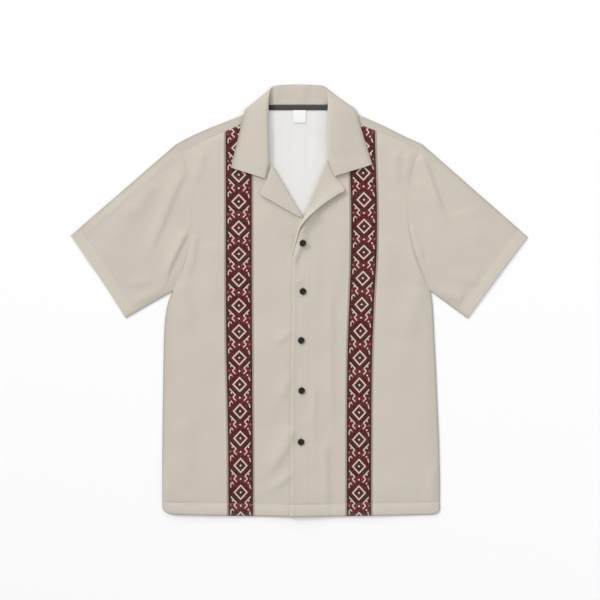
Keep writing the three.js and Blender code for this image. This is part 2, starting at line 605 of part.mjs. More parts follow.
// The collar's middle surface, then half its wall to each side.
function collar() {
  const table = COLLAR.map((row, i) => ({ ...row, i }));
  const point = (at, letter) =>
    new THREE.Vector3(...["x", "y", "z"].map((axis) => read(table, "i", letter + axis, at)));
  const grid = range(COLLAR_STEPS.around).map((t) => {
    const at = t * (table.length - 1);
    const [fall, roll, neck] = ["f", "r", "n"].map((letter) => point(at, letter));
    const turn = read(table, "i", "turn", at);
    const near = (other, lift) => {
      const width = Math.hypot(other.x - roll.x, other.y - roll.y);
      const reach = Math.min(COLLAR_TURN_REACH, COLLAR_TURN_SHARE * width);
      const flat = new THREE.Vector3(other.x - roll.x, other.y - roll.y, 0).setLength(reach);
      return roll.clone().add(flat).add(new THREE.Vector3(0, 0, lift));
    };
    const path = new THREE.CatmullRomCurve3([fall, near(fall, turn), roll, near(neck, -turn), neck]);
    return path.getPoints(COLLAR_STEPS.across - 1);
  });
  const offset = (i, j) => {
    const along = grid[Math.min(i + 1, grid.length - 1)][j].clone().sub(grid[Math.max(i - 1, 0)][j]);
    const row = grid[i];
    const over = row[Math.min(j + 1, row.length - 1)].clone().sub(row[Math.max(j - 1, 0)]);
    return along.cross(over).setLength(COLLAR_CLOTH / 2);
  };
  const onFloor = (place) => place.setZ(Math.max(place.z, 0));
  return wallGeometry(
    grid.map((row, i) => ({
      outer: row.map((middle, j) => onFloor(middle.clone().add(offset(i, j)))),
      inner: row.map((middle, j) => onFloor(middle.clone().sub(offset(i, j)))),
    })),
  );
}

// A strip or patch that lies on the back, made from the back's own points moved up.
function patchOnBack({ left, right, low, high, thick, steps }) {
  const base = (x, y) => neckLift(x, y) + CLOTH + GAP;
  const rows = [low, (low + high) / 2, high].map((y) => range(steps).map((t) => [lerp(left, right, t), y]));
  return layeredWall(rows, base, (x, y) => base(x, y) + thick);
}

function button({ x, y }) {
  const { radius, thick, rim, dish, sides } = BUTTON;
  const profile = [
    [0, 0],
    [radius - 1, 0],
    [radius, 0.8],
    [radius, thick - 0.5],
    [radius - 0.6, thick],
    [radius - rim, thick],
    [radius - rim - 0.8, thick - dish],
    [0, thick - dish],
  ].map(([r, z]) => new THREE.Vector2(r, z));
  const geometry = new THREE.LatheGeometry(profile, sides).rotateX(Math.PI / 2);
  const mesh = new THREE.Mesh(geometry, PALETTE.button);
  const highest = Math.max(
    ...range(8).map((t) => {
      const angle = 2 * Math.PI * t;
      return frontTop.left(x + radius * Math.cos(angle), y + radius * Math.sin(angle));
    }),
    frontTop.left(x, y),
  );
  mesh.position.set(x, y, highest + BUTTON_GAP);
  return mesh;
}

const shirt = new THREE.Group();

function add(name, geometry, material) {
  const mesh = new THREE.Mesh(geometry, material);
  mesh.name = name;
  shirt.add(mesh);
}

add("back", backPanel(), PALETTE.inside);
for (const side of ["right", "left"]) {
  add(`front_${side}`, frontPanel(side), PALETTE.cloth);
  add(`sleeve_${side}`, sleeve(side), PALETTE.cloth);
  add(`lapel_${side}`, lapel(side), PALETTE.cloth);
}
add("collar", collar(), PALETTE.cloth);
add("neck_tape", patchOnBack(TAPE), PALETTE.tape);
add("neck_label", patchOnBack(LABEL), PALETTE.label);
BUTTONS.forEach((place, i) => {
  const mesh = button(place);
  mesh.name = `button_${i + 1}`;
  shirt.add(mesh);
});

export default shirt;
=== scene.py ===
"""A camp collar shirt laid flat, front up: printed shirting, lapels, collar, buttons and sewing.

Tables are in millimetres, in the frame of the CAD parts: +Z up off the surface that the shirt lies on,
+Y towards the collar, and -X the wearer's right. Meshes are made in metres.
"""

import math

import bmesh
import bpy
import numpy as np
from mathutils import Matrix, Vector
from mathutils.kdtree import KDTree


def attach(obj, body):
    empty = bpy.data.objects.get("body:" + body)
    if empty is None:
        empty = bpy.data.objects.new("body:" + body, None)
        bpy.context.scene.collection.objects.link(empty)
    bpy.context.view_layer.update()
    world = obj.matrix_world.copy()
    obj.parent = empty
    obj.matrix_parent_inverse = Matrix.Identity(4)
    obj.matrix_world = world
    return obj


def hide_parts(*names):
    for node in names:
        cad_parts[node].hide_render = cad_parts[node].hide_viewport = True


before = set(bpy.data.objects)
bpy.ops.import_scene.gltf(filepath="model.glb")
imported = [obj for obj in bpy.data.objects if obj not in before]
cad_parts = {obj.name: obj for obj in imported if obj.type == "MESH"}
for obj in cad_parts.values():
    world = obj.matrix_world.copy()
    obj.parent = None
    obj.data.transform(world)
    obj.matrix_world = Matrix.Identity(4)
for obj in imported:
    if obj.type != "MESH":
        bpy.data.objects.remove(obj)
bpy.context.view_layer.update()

bl_info = {
    "name": "Camp collar shirt",
    "version": (1, 0, 0),
    "blender": (4, 5, 0),
    "location": "3D View > Sidebar > Shirt",
    "description": "Makes a camp collar shirt, laid flat, with its print, buttons and stitching",
    "category": "Add Mesh",
}

MM = 0.001

# Heights above the surface that the shirt lies on, the same as the CAD parts'
LAYER_GAP = 0.3  # between two layers that are sewn or lie together
BACK_PANEL = 1.0  # the back's thickness in the CAD, under the neck trim
FRONT_BED = 1.3  # underside of the fronts at their seams
PUFF = 1.6  # how far the fronts stand off the back away from the seams
PUFF_RISES = 16  # over about this distance from a seam
CREASE_RISES = 4
SLEEVE_PUFF = 1.3
SLEEVE_SINKS = 0.25  # the sleeve lies a little lower than the front beside it
SEAM_GAP = 0.08
SEAM_TIGHT = 0.06  # what is left of the cloth's thickness where a side seam pulls it in
SEAM_ROLL = 1.6  # radius of the cloth's edge at a side seam
SIDE_SEAM_SINKS = 0.25
ARMHOLE_SINKS = 0.12
SEAM_LINE_SINKS = (1.8, 0.4)  # half width and depth of the line along a shoulder seam
SIDE_SEAM_FADES = 14
STITCH_ROW = 6  # from a seam to the middle of its puckers
SIDE_PUCKERS = 0.6
HEM_DEPTH = 21
HEM_STEP = 1.5  # the hem's extra thickness fades over this height
HEM_EXTRA = 0.45  # the hem is turned up twice
HEM_STITCHES = 0.6  # above the hem's upper edge
HEM_ENDS = (-226, 238)
HEM_ROLL = 2.4  # radius of the hem's lower edge
HEM_EDGE = 0.25  # what is left of its thickness there
HEM_LINE = (1.2, 1.3, 0.35)  # above the hem's upper edge, half width and depth of its sewn line
HEM_VALLEY = {"depth": 1.2, "above": 17, "below": 7}
OVERLAP_FADES = 26
OVERLAP_GAP = 0.8
NECK_LIFT = 1.7  # how far the collar's fall lifts the back behind the neck
NECK_LIFT_FROM = (152, 284)  # x to either side, and y
NECK_LIFT_RISES = 56
NECK_LIFT_ROOM = 1.1  # how much of the lift the fronts take on
ARMHOLE_HELD = {"share": 0.72, "low": (18, 50), "high": (272, 40)}  # from y, and over this height
STITCH_LIFT = 0.06  # middle of a stitch above its cloth
UNDER_LIFT = 0.12  # the same under the back and under a sleeve
FRONT_ROWS = {"from_to": (-386, 108), "from_edge": (1.8, 31)}  # both rows along the front edge
SHOULDER_ROW = 2.2  # from the seam to its row of stitches
ARMHOLE_ROW = 2.4
TAPE_ROW = 2.2  # height of the tape's stitches where the neck isn't lifted
LABEL_ROW = 1.96

# Body
HEM_SIDE_Y = -384.3
HEM_CENTRE_DROP = 4.2
HEM_HALF_WIDTH = 240
HEM_DROP_FADES = 120
ROWS_TILT_FROM_Y = 60
UNDERARM_Y = 18
SHOULDER_TIP_Y = 282
NECK_SEAM_Y = 356
NECK_BLEND = 14
CUFF_SHOWS = 2.6  # the lower layer of a cuff shows this far past the upper one
CUFF_VALLEY = 0.8  # of the body hem's
CUFF_SETTLES = 0.4  # how much of the sleeve's puff is left at the cuff
CUFF_SETTLES_OVER = 30
SLEEVE_LENGTH = 240  # from armhole to cuff
SLEEVE_LAYER = 265  # from the fold to the underarm seam
SLEEVE_WAVES = (270, 230)  # the same two lengths, as the puckers count them
UNDERSIDE_FOLDS = {"back": 0.6, "sleeve": 0.25, "sleeve_most": 0.8}  # share of a crease underneath

SIDES = ("right", "left")


def smooth(t):
    """From 0 to 1 as t goes from 0 to 1, level at both ends."""
    t = np.clip(t, 0, 1)
    return t * t * (3 - 2 * t)


def lerp(a, b, t):
    """From a to b as t goes from 0 to 1."""
    return a + (b - a) * t


def rise(distance, reach):
    """From 0 at a seam to 1 well away from it."""
    return 1 - np.exp(-np.maximum(distance, 0) / reach)


def rounded(distance, radius):
    """Height of a round edge, from 0 at the edge to 1 at its radius and beyond."""
    t = np.clip(distance / radius, 0, 1)
    return np.sqrt(np.maximum(1 - (1 - t) ** 2, 0))


class Run:
    """A smooth curve through the rows of a table, read by the first column."""

    def __init__(self, rows):
        rows = np.array(sorted(rows), float)
        self.keys, self.values = rows[:, 0], rows[:, 1:]
        rates = np.diff(self.values, axis=0) / np.diff(self.keys)[:, None]
        before, after = np.vstack([rates[:1], rates]), np.vstack([rates, rates[-1:]])
        least = 3 * np.minimum(np.abs(before), np.abs(after))
        slopes = np.sign(after) * np.minimum(np.abs(before + after) / 2, least)
        self.slopes = np.where(before * after <= 0, 0, slopes)

    def __call__(self, at):
        at = np.clip(np.asarray(at, float), self.keys[0], self.keys[-1])
        i = np.clip(np.searchsorted(self.keys, at) - 1, 0, len(self.keys) - 2)
        span = (self.keys[i + 1] - self.keys[i])[..., None]
        t = (at - self.keys[i])[..., None] / span
        t2, t3 = t * t, t * t * t
        value = (
            (2 * t3 - 3 * t2 + 1) * self.values[i]
            + (t3 - 2 * t2 + t) * span * self.slopes[i]
            + (3 * t2 - 2 * t3) * self.values[i + 1]
            + (t3 - t2) * span * self.slopes[i + 1]
        )
        return value[..., 0] if value.shape[-1] == 1 else value


# Side seam and armhole from the hem up: y, x
SIDE_EDGE = {
    "right": Run([
        (-384.3, -226), (-382.4, -235), (-379.5, -241), (-375, -244.6), (-366, -246.2), (-340, -246.5),
        (-268, -246.4), (-181.8, -245.4), (-106.2, -244.2), (-52.2, -242.8), (-19.8, -239.6),
        (1.8, -234.5), (18, -227.5), (52.2, -213.1), (91.8, -200.5), (131.4, -194.4),
        (172.8, -193.2), (208.8, -196.2), (239.4, -202.8), (268.2, -213.6), (282, -222),
    ]),
    "left": Run([
        (-384.3, 238), (-382.3, 246), (-379.5, 250), (-375, 251.8), (-366, 252.2), (-340, 252.3),
        (-268, 251.3), (-181.8, 247.9), (-106.2, 244.6), (-52.2, 241.8), (-19.8, 240.2),
        (1.8, 238.4), (18, 235.2), (55.8, 218.9), (88.2, 206.5), (118.8, 199.3),
        (154.8, 195.5), (199.8, 197.3), (235.8, 203.2), (264.6, 213.5), (282, 221.2),
    ]),
}
# Front edge, roll line of the lapel, then the neck seam under the collar: y, x
FRONT_EDGE = {
    "right": Run([
        (-390, 22), (60, 22), (118, 21), (149.4, 5.4), (196, -22.6), (243, -51.5), (262, -59.5),
        (300, -62.5), (338, -66),
    ]),
    "left": Run([
        (-390, -16.4), (-138.6, -15.5), (-28.8, -13.4), (60, -12.4), (90, -10.6), (111.6, -7.5),
        (126, -2.5), (140, 4.7), (153, 10.4), (204, 31), (255, 52), (275, 58.5), (305, 60), (336, 63),
    ]),
}
# Shoulder fold and the seam in front of it, from the sleeve to the neck: fold x, fold y, seam x, seam y
SHOULDERS = {
    "right": [
        (-222, 282, -213.8, 268.8), (-193.3, 297, -188, 280.4), (-160.9, 311.4, -158, 294),
        (-129, 323.9, -128, 307.5), (-101.5, 334.8, -101.5, 319.5), (-74.5, 348.3, -74.5, 331.7),
    ],
    "left": [
        (221.2, 282, 216.4, 271.4), (188.3, 297, 185.4, 287), (159.5, 311.4, 157.6, 298.8),
        (133, 323.4, 132, 308.6), (101, 337, 101, 319.4), (73.1, 348.3, 73.1, 328.6),
    ],
}
FOLD_LINE = {side: Run([row[:2] for row in SHOULDERS[side]]) for side in SIDES}
SEAM_LINE = {side: Run([row[2:] for row in SHOULDERS[side]]) for side in SIDES}
# Cuffs from the fold at the top of the sleeve to the underarm seam: share of the way, x, y
CUFFS = {
    "right": Run([(0, -411.5, 117.4), (0.28, -385.6, 78.8), (0.62, -353.6, 33.2), (1, -312.4, -30.4)]),
    "left": Run([(0, 411.5, 114.6), (0.3, 382.8, 77.2), (0.64, 345.4, 27.4), (1, 302.6, -31.2)]),
}
# Lapels from the V up: roll x, roll y, free edge x, free edge y
LAPELS = {
    "right": [
        (4.6, 150.6, -2.4, 152.6), (-4, 164.6, -17, 161), (-16, 184.8, -36, 171.8),
        (-28, 205, -53, 181.6), (-38, 221.6, -66.6, 189.6), (-44, 231.8, -69.8, 195.6),
        (-48, 238.4, -65.6, 206), (-50.6, 243, -58.6, 219),
    ],
    "left": [
        (-13.4, 84, -12.2, 83), (-10.4, 99, -8.4, 98.5), (-7.6, 112, -4.6, 112),
        (-2.4, 126.4, 1.2, 131), (5.2, 141.4, 13.6, 148), (12.4, 158.4, 29.6, 163),
        (20.4, 178.4, 47, 177), (30.2, 202.4, 68, 191), (38.4, 222.4, 80.8, 199),
        (44.4, 237.4, 77.4, 207), (48, 246, 71.6, 215.4), (51, 252.6, 65.4, 222),
    ],
}
LAPEL_NOSE = 1.4
FRONT_TURN_TOP = 78  # the pressed front edge ends where the lapel starts to roll
FRONT_TURN_FADES = 14
FRONT_TURN = {"ridge": 3.2, "outer": 3, "inner": 5.5, "height": 1.1, "edge_sinks": 0.5}
LAPEL_GAP = 0.6
LAPEL_WALL = 1.3
LAPEL_ROLL = 1.3
LAPEL_ROLL_ENDS = 0.6
LAPEL_EDGE_LIFTS = {"right": 1.7, "left": 5.4}
LAPEL_DIVES = (214, 26)  # under the collar: from y, and over this height
LAPEL_SAG = 0.25
# Collar from the right notch round the neck to the left one: free edge, roll line and neck seam as
# x, y, z each, then how far the fall lies over (or, under 0, beneath) the stand
COLLAR = [
    (-122.6, 239.8, 5.2, -61.8, 220.2, 6.9, -68, 227, 5.3, 1.2),
    (-119.6, 252.4, 5.2, -58.6, 233, 7.2, -66, 239, 5.3, 1.7),
    (-116.4, 265.6, 5.2, -55.6, 247, 8, -66, 252, 5.3, 1.9),
    (-112.4, 282, 5.2, -55.9, 268, 8.6, -68, 272, 5.3, 2),
    (-107.8, 301, 5.2, -56.7, 292, 9, -71, 295, 5.3, 2),
    (-103.5, 319, 5.3, -57, 318, 8.7, -74, 317, 5.4, 2),
    (-99.4, 335.6, 5.5, -56.4, 344, 8.5, -73, 337, 5.4, 1.8),
    (-97.2, 342, 5, -54.8, 364, 8.1, -69, 346, 4.8, 1.2),
    (-94.8, 346, 3.4, -51.6, 380.6, 6.6, -64, 352.5, 4.3, 0),
    (-84, 346.6, 0.7, -44, 386.2, 4.2, -52, 354.2, 3.9, -1.2),
    (-62, 345, 0.66, -30, 387.6, 3.6, -36, 353.8, 3.8, -1.9),
    (-32, 343.4, 0.65, -15, 388.3, 3.4, -18, 354, 3.8, -2),
    (0, 343, 0.65, 0, 388.5, 3.4, 0, 354, 3.8, -2),
    (32, 343.4, 0.65, 15, 388.2, 3.4, 17, 354, 3.8, -2),
    (62, 345, 0.66, 30, 387.4, 3.6, 34, 353.8, 3.8, -1.9),
    (85, 347.4, 0.7, 42, 386, 4.2, 49, 354.2, 3.9, -1.2),
    (95.8, 347.6, 3, 49.6, 380.6, 5.8, 60, 352.5, 4.3, 0),
    (100.6, 342.6, 4.6, 51.6, 364, 6.8, 65, 346, 4.8, 1.2),
    (104.6, 333.4, 5.3, 51.9, 344, 8.4, 69, 337, 5.4, 1.8),
    (108, 319, 5.3, 51.8, 318, 9, 70, 317, 5.4, 2),
    (114.2, 298, 5.2, 51.6, 294, 9.2, 67, 297, 5.3, 2),
    (120, 279, 5.2, 51.6, 274, 8.8, 66, 278, 5.3, 2),
    (124.8, 263.4, 5.2, 51.4, 256.6, 7.3, 65, 262, 5.3, 1.9),
    (128, 253.4, 5.2, 56.6, 240, 7.2, 69, 246, 5.3, 1.7),
    (130.6, 245.4, 5.2, 63.6, 224.6, 6.9, 74, 232, 5.3, 1.2),
]
COLLAR_WALL = 1.2
COLLAR_TURN_REACH = 3.4
COLLAR_TURN_SHARE = 0.45
COLLAR_ACROSS = 45  # points from the free edge to the neck seam; the roll is in the middle
# Painted shadow on the stand where it goes under the collar's leaf: from this y; its left end, fade and
# strength; and a faint painted line at the right
STAND_SHADOW_PAINTED = {
    "from_y": 345, "left": -49, "over": 5, "shade": 0.85, "right": 45.5, "half": 2.5, "faint": 0.3,
}

TAPE = {"left": -54.5, "right": 50, "low": 343.4, "high": 352}
LABEL = {"left": -10.8, "right": 11.2, "low": 320.2, "high": 343}
BUTTONS = [(6.2, 103.5), (6.4, 17.1), (3.4, -70.9), (4.1, -161.1), (3.0, -253.3)]
BUTTON_RADIUS = 6
BUTTON_GAP = 0.5
# Half section of a button, from the middle of its underside out and back over the rim: radius, height
BUTTON_SECTION = [
    (0, 0), (4.7, 0), (5.5, 0.35), (5.9, 0.9), (6.0, 1.4), (5.85, 1.9), (5.5, 2.28), (5.05, 2.4),
    (4.6, 2.3), (4.25, 2.0), (3.9, 1.75), (3.3, 1.66), (0, 1.62),
]
BUTTON_HOLE = {"radius": 0.75, "from_middle": 1.25, "sides": 14}

# Creases: points x, y along the way; then the width of the soft side, the width of the side to the
# left of the way as seen from above, which is mostly the steeper one, and the height
FRONT_CREASES = [
    ([(-174, 272), (-178, 244), (-187, 210)], 15, 9, 2.0),
    ([(-186, 122), (-190, 86), (-200, 38)], 12, 5.5, 2.0),
    ([(-213, 40), (-206, -10), (-197, -72)], 20, 14, 2.2),
    ([(-14, -52), (-27, -64), (-43, -80)], 9, 6, 1.8),
    ([(-14, -130), (-23, -150), (-36, -182)], 11, 8, 2.0),
    ([(-12, -222), (-22, -256), (-38, -284), (-62, -314)], 17, 9, 3.6),
    ([(-12, -308), (-32, -326), (-56, -340)], 10, 6, 2.2),
    ([(-150, 110), (-153, 50), (-160, -12)], 24, 18, 1.8),
    ([(-92, -60), (-88, -150), (-96, -240)], 32, 24, 1.5),
    ([(-212, -210), (-204, -290), (-212, -360)], 24, 15, 1.5),
    ([(-252, -400), (-250, -340), (-248, -262)], 48, 6, 2.6),
    ([(-238, -330), (-210, -352), (-180, -360)], 10, 6, 1.2),
    ([(-240, -360), (-222, -364), (-204, -362)], 2.4, 1.8, -0.8),
    ([(-64, 172), (-52, 150), (-22, 118)], 14, 10, 1.4),
    ([(30, 164), (11, 140), (2, 120), (-3, 106)], 6, 9, 5.2),
    ([(12, 118), (1, 97), (-7, 76), (-10, 60)], 9, 4.5, 3.4),
    ([(8, 40), (0, 34), (-8, 29)], 6, 3.5, 1.1),
    ([(56, 34), (54, -100), (57, -252)], 17, 9, 2.4),
    ([(47, -248), (49, -320), (48, -402)], 11, 5.5, 2.3),
    ([(26, -156), (27, -188), (26, -216)], 8, 4.5, 1.8),
    ([(20, -200), (24, -236), (34, -262)], 9, 6, 1.4),
    ([(176, 274), (173, 240), (181, 206)], 12, 8, 2.2),
    ([(195, 268), (196, 244), (194, 214)], 10, 7, 1.8),
    ([(205, 224), (213, 214), (222, 204)], 8, 5, 1.2),
    ([(206, 100), (217, 66), (230, 16)], 14, 4.5, 3.2),
    ([(214, 30), (206, -20), (194, -84)], 20, 14, 2.2),
    ([(150, 120), (154, 70), (161, 16)], 20, 16, 1.7),
    ([(180, -60), (172, -160), (178, -250)], 30, 24, 1.8),
    ([(243, -296), (240, -336), (236, -380)], 12, 7, 2.2),
    ([(88, 150), (76, 90), (66, 40)], 24, 17, 1.5),
]
SLEEVE_CREASES = [
    ([(-200, 238), (-213, 222), (-228, 190), (-239, 160), (-255, 122), (-276, 76)], 13, 6, 2.6),
    ([(-215, 268), (-207, 246), (-200, 230)], 8, 3.5, 1.6),
    ([(-200, 128), (-216, 97), (-232, 63), (-242, 30)], 12, 3.4, 3.1),
    ([(-212, 270), (-305, 190), (-400, 107)], 8, 4, 0.9),
    ([(-262, 36), (-286, 34), (-312, 28)], 10, 7, 1.2),
    ([(-250, 16), (-280, 4), (-302, -6)], 9, 6, 1.6),
    ([(-300, 180), (-322, 140), (-334, 96)], 28, 20, 2.2),
    ([(-262, 216), (-286, 176), (-300, 140)], 16, 12, 1.8),
    ([(214, 270), (227, 246), (240, 208), (254, 170), (262, 146)], 13, 4, 4.2),
    ([(198, 138), (209, 112), (219, 88), (222, 66)], 10, 5, 2.4),
    ([(211, 216), (219, 208), (226, 199)], 7, 4, 1.5),
    ([(296, 2), (270, 8), (242, 20)], 11, 7, 1.9),
    ([(326, 34), (300, 38), (262, 54)], 14, 9, 1.6),
    ([(212, 270), (305, 188), (400, 104)], 8, 4, 0.9),
    ([(300, 170), (316, 130), (322, 92)], 28, 20, 2.0),
]
BACK_CREASES = [
    ([(-38, 330), (-37, 260), (-40, 190)], 7, 4, 1.3),
    ([(-22, 318), (-24, 270), (-20, 200)], 6, 5, 0.8),
    ([(6, 312), (8, 270), (4, 196)], 8, 6, 0.8),
    ([(30, 330), (31, 280), (24, 220)], 8, 5, 1.0),
    ([(-150, 200), (-140, 120), (-146, 40)], 20, 12, 1.0),
    ([(60, 120), (52, 0), (58, -140)], 24, 14, 0.9),
    ([(-60, -60), (-66, -180), (-58, -300)], 22, 12, 0.9),
    ([(160, -20), (150, -140), (156, -260)], 24, 14, 0.9),
]
CREASE_STARTS, CREASE_ENDS = 0.16, 0.35  # shares of a crease over which it rises and sinks
CREASE_LEAST = 0.15
# Slow unevenness of cloth that was ironed and laid down: turns a millimetre in x and in y, phase, height
RIPPLES = [
    (0.021, 0.034, 0.4, 0.5), (-0.043, 0.018, 2.1, 0.42), (0.012, -0.061, 4.0, 0.3),
    (0.083, 0.027, 1.2, 0.13), (-0.06, 0.09, 3.3, 0.1), (0.14, -0.05, 5.1, 0.05),
]
PUCKER = {"every": 10.5, "height": 0.13, "reach": 9}  # the small waves that a hem's stitches pull up

# Shade painted into the cloth's colour along its edges and folds, darkest on the edge
EDGE_LINE = 2.0  # painted shade along a pressed edge reaches this far in
EDGE_FADES = 10
EDGE_SHARES = (0.75, 0.25)  # of the line and of the fade
EDGE_SHADE_PAINTED = 0.55
HEM_PALER = 0.05  # how much paler the double cloth of a hem is
YARN = 0.62  # from one yarn of the shirting to the next
SLUB = 0.5  # scale of the noise that makes some yarns thicker
INSIDE_SQUARE = 2.6
TAPE_RIB = 1.1
TAPE_YARN = 0.5
LABEL_RIB = 0.42

# The printed band down each front is drawn on steps; their size across, by y
STEP = {
    "right": Run([(-400, 1.68), (-268, 1.69), (-178, 1.72), (-88, 1.77), (92, 1.78), (272, 1.78)]),
    "left": Run([(-400, 1.66), (-178, 1.68), (2, 1.69), (92, 1.76), (272, 1.78)]),
}
REPEAT = 26.1  # steps from one diamond to the next
# Middle of each band: y, x; then which diamond is where: y, count from the top
BAND_MIDDLE = {
    "right": Run([
        (-400, -105.5), (-268, -105.8), (-178, -107), (-88, -108.1), (2, -108.8), (182, -109), (340, -109.3),
    ]),
    "left": Run([
        (-400, 107), (-268, 107.2), (-151, 107.8), (-70, 109.3), (2, 112.2), (92, 115.9), (160, 116.3),
        (231, 114.6), (272, 113.1), (330, 112),
    ]),
}
BAND_COUNT = {
    "right": Run([
        (-439, 15), (-344, 13), (-198.1, 10), (-102.1, 8), (-8.1, 6), (131.4, 3), (275.2, 0),
        (372, -2),
    ]),
    "left": Run([
        (-440, 14), (-345, 12), (-249.2, 10), (-151.2, 8), (-53.9, 6), (40.9, 4), (134.4, 2),
        (230.1, 0), (327, -2),
    ]),
}


# Surfaces of the cloth


def crease_height(creases, x, y):
    """Ridges along given lines, each softer on one side than on the other."""
    height = np.zeros(np.shape(x))
    for points, soft, steep, rises in creases:
        lengths = [math.dist(p, q) for p, q in zip(points, points[1:])]
        total = sum(lengths)
        nearest = np.full(np.shape(x), np.inf)
        signed = np.zeros(np.shape(x))
        share = np.zeros(np.shape(x))
        done = 0
        for (x1, y1), (x2, y2), length in zip(points, points[1:], lengths):
            dx, dy = (x2 - x1) / length, (y2 - y1) / length
            along = np.clip((x - x1) * dx + (y - y1) * dy, 0, length)
            off = np.hypot(x - x1 - along * dx, y - y1 - along * dy)
            left = (y - y1) * dx - (x - x1) * dy
            closer = off < nearest
            nearest = np.where(closer, off, nearest)
            signed = np.where(closer, left, signed)
            share = np.where(closer, (done + along) / total, share)
            done += length
        width = lerp(soft, steep, smooth(signed / steep + 0.5))
        fades = smooth(share / CREASE_STARTS) * smooth((1 - share) / CREASE_ENDS)
        height += rises * lerp(CREASE_LEAST, 1, fades) * np.exp(-((nearest / width) ** 2))
    return height


def ripples(x, y):
    """The slow unevenness of the cloth."""
    return sum(rises * np.sin(kx * x + ky * y + phase) for kx, ky, phase, rises in RIPPLES)


def pucker(distance, along):
    """Small uneven waves beside a row of stitches."""
    turns = 2 * math.pi * along / PUCKER["every"]
    wave = np.sin(turns) + 0.6 * np.sin(turns * 0.61 + 1.3)
    return PUCKER["height"] * wave * np.exp(-((distance / PUCKER["reach"]) ** 2))


def pressed(distance, middle, half, height):
    """A soft line at a distance from an edge."""
    return height * np.exp(-(((distance - middle) / half) ** 2))


def by_side(x, runs, at):
    """One run for the wearer's right side, where x is under 0, and the other for the left."""
    return np.where(np.asarray(x) < 0, runs["right"](at), runs["left"](at))


def neck_lift(x, y):
    """The back lies over the collar's fall behind the neck."""
    up = smooth((y - NECK_LIFT_FROM[1]) / NECK_LIFT_RISES)
    return NECK_LIFT * up * smooth((NECK_LIFT_FROM[0] - np.abs(x)) / NECK_LIFT_RISES)


def hem_line(x):
    """The hem's edge; it hangs lower in the middle."""
    return HEM_SIDE_Y - HEM_CENTRE_DROP * (1 - np.abs(x) / HEM_HALF_WIDTH)


def hem_height(x, y):
    """How far a point is above the hem."""
    return y - hem_line(x)


def bed(x, y):
    """Underside of the fronts."""
    inward = np.abs(by_side(x, SIDE_EDGE, y)) - np.abs(x)
    below = by_side(x, SEAM_LINE, x) - y
    height = hem_height(x, y)
    free = lerp(held_up(y), 1, rise(inward, PUFF_RISES)) * rise(below, PUFF_RISES)
    loose = rise(inward, CREASE_RISES) * rise(below, CREASE_RISES)
    waves = (
        pucker(height - HEM_DEPTH, x)
        + SIDE_PUCKERS * pucker(inward - STITCH_ROW, y)
        + SIDE_PUCKERS * pucker(below - STITCH_ROW, x)
    )
    base = FRONT_BED + NECK_LIFT_ROOM * neck_lift(x, y)
    folds = crease_height(FRONT_CREASES, x, y)
    puffed = PUFF + ripples(x, y) + waves - hem_valley(height)
    return base + free * puffed + loose * folds - pressed(below, 0, *SEAM_LINE_SINKS)


def turned_up(height):
    """1 in a hem, where the cloth lies double, and 0 above it."""
    return 1 - smooth((height - HEM_DEPTH) / HEM_STEP)


def held_up(y):
    """The armhole seam is held up between the shoulder and the underarm."""
    (low, rises), (high, sinks) = ARMHOLE_HELD["low"], ARMHOLE_HELD["high"]
    return ARMHOLE_HELD["share"] * smooth((y - low) / rises) * smooth((high - y) / sinks)


def hem_valley(height):
    """The cloth sinks to the row of stitches that holds the hem."""
    away = height - HEM_DEPTH
    reach = np.where(away > 0, HEM_VALLEY["above"], HEM_VALLEY["below"])
    return HEM_VALLEY["depth"] * np.exp(-((away / reach) ** 2))


def front_wall(x, y, cloth):
    """Thickness of a front: double in the hem, thin along the hem's stitches."""
    height = hem_height(x, y)
    above, half, depth = HEM_LINE
    return cloth + HEM_EXTRA * turned_up(height) - pressed(height, HEM_DEPTH + above, half, depth)


def fold_radius(cloth):
    """Radius of a fold round the room between the back and the fronts."""
    return (FRONT_BED + cloth) / 2


def front_bottom(side, x, y, cloth):
    """The left front lies over the right one along the front edge, which has a pressed ridge."""
    if side == "right":
        return bed(x, y)
    ends = FRONT_EDGE["right"](y) + 2
    over = (front_wall(x, y, cloth) + OVERLAP_GAP) * smooth(1 - (x - ends) / OVERLAP_FADES)
    inside = x - FRONT_EDGE["left"](y)
    half = lerp(FRONT_TURN["outer"], FRONT_TURN["inner"], smooth(inside - FRONT_TURN["ridge"] + 0.5))
    ridge = pressed(inside, FRONT_TURN["ridge"], half, FRONT_TURN["height"])
    ridge = ridge - FRONT_TURN["edge_sinks"] * (1 - smooth(inside / 3))
    return bed(x, y) + over + ridge * (1 - smooth((y - FRONT_TURN_TOP) / FRONT_TURN_FADES))


def front_top(side, x, y, cloth):
    """Upper face of a front."""
    return front_bottom(side, x, y, cloth) + front_wall(x, y, cloth)


# Walls


RIM_BULGE = 0.4  # how far a raw edge bulges, as a share of the wall's thickness
SHARP_ANGLE = math.radians(38)


def grid_faces(rows, columns, ring=False):
    """Four-sided faces between rows of points; in a ring the last column joins the first."""
    number = np.arange(rows * columns).reshape(rows, columns)
    if ring:
        number = np.hstack([number, number[:, :1]])
    corners = (number[:-1, :-1], number[:-1, 1:], number[1:, 1:], number[1:, :-1])
    return np.stack(corners, axis=-1).reshape(-1, 4)


def unit(vectors):
    return vectors / np.maximum(np.linalg.norm(vectors, axis=-1, keepdims=True), 1e-9)


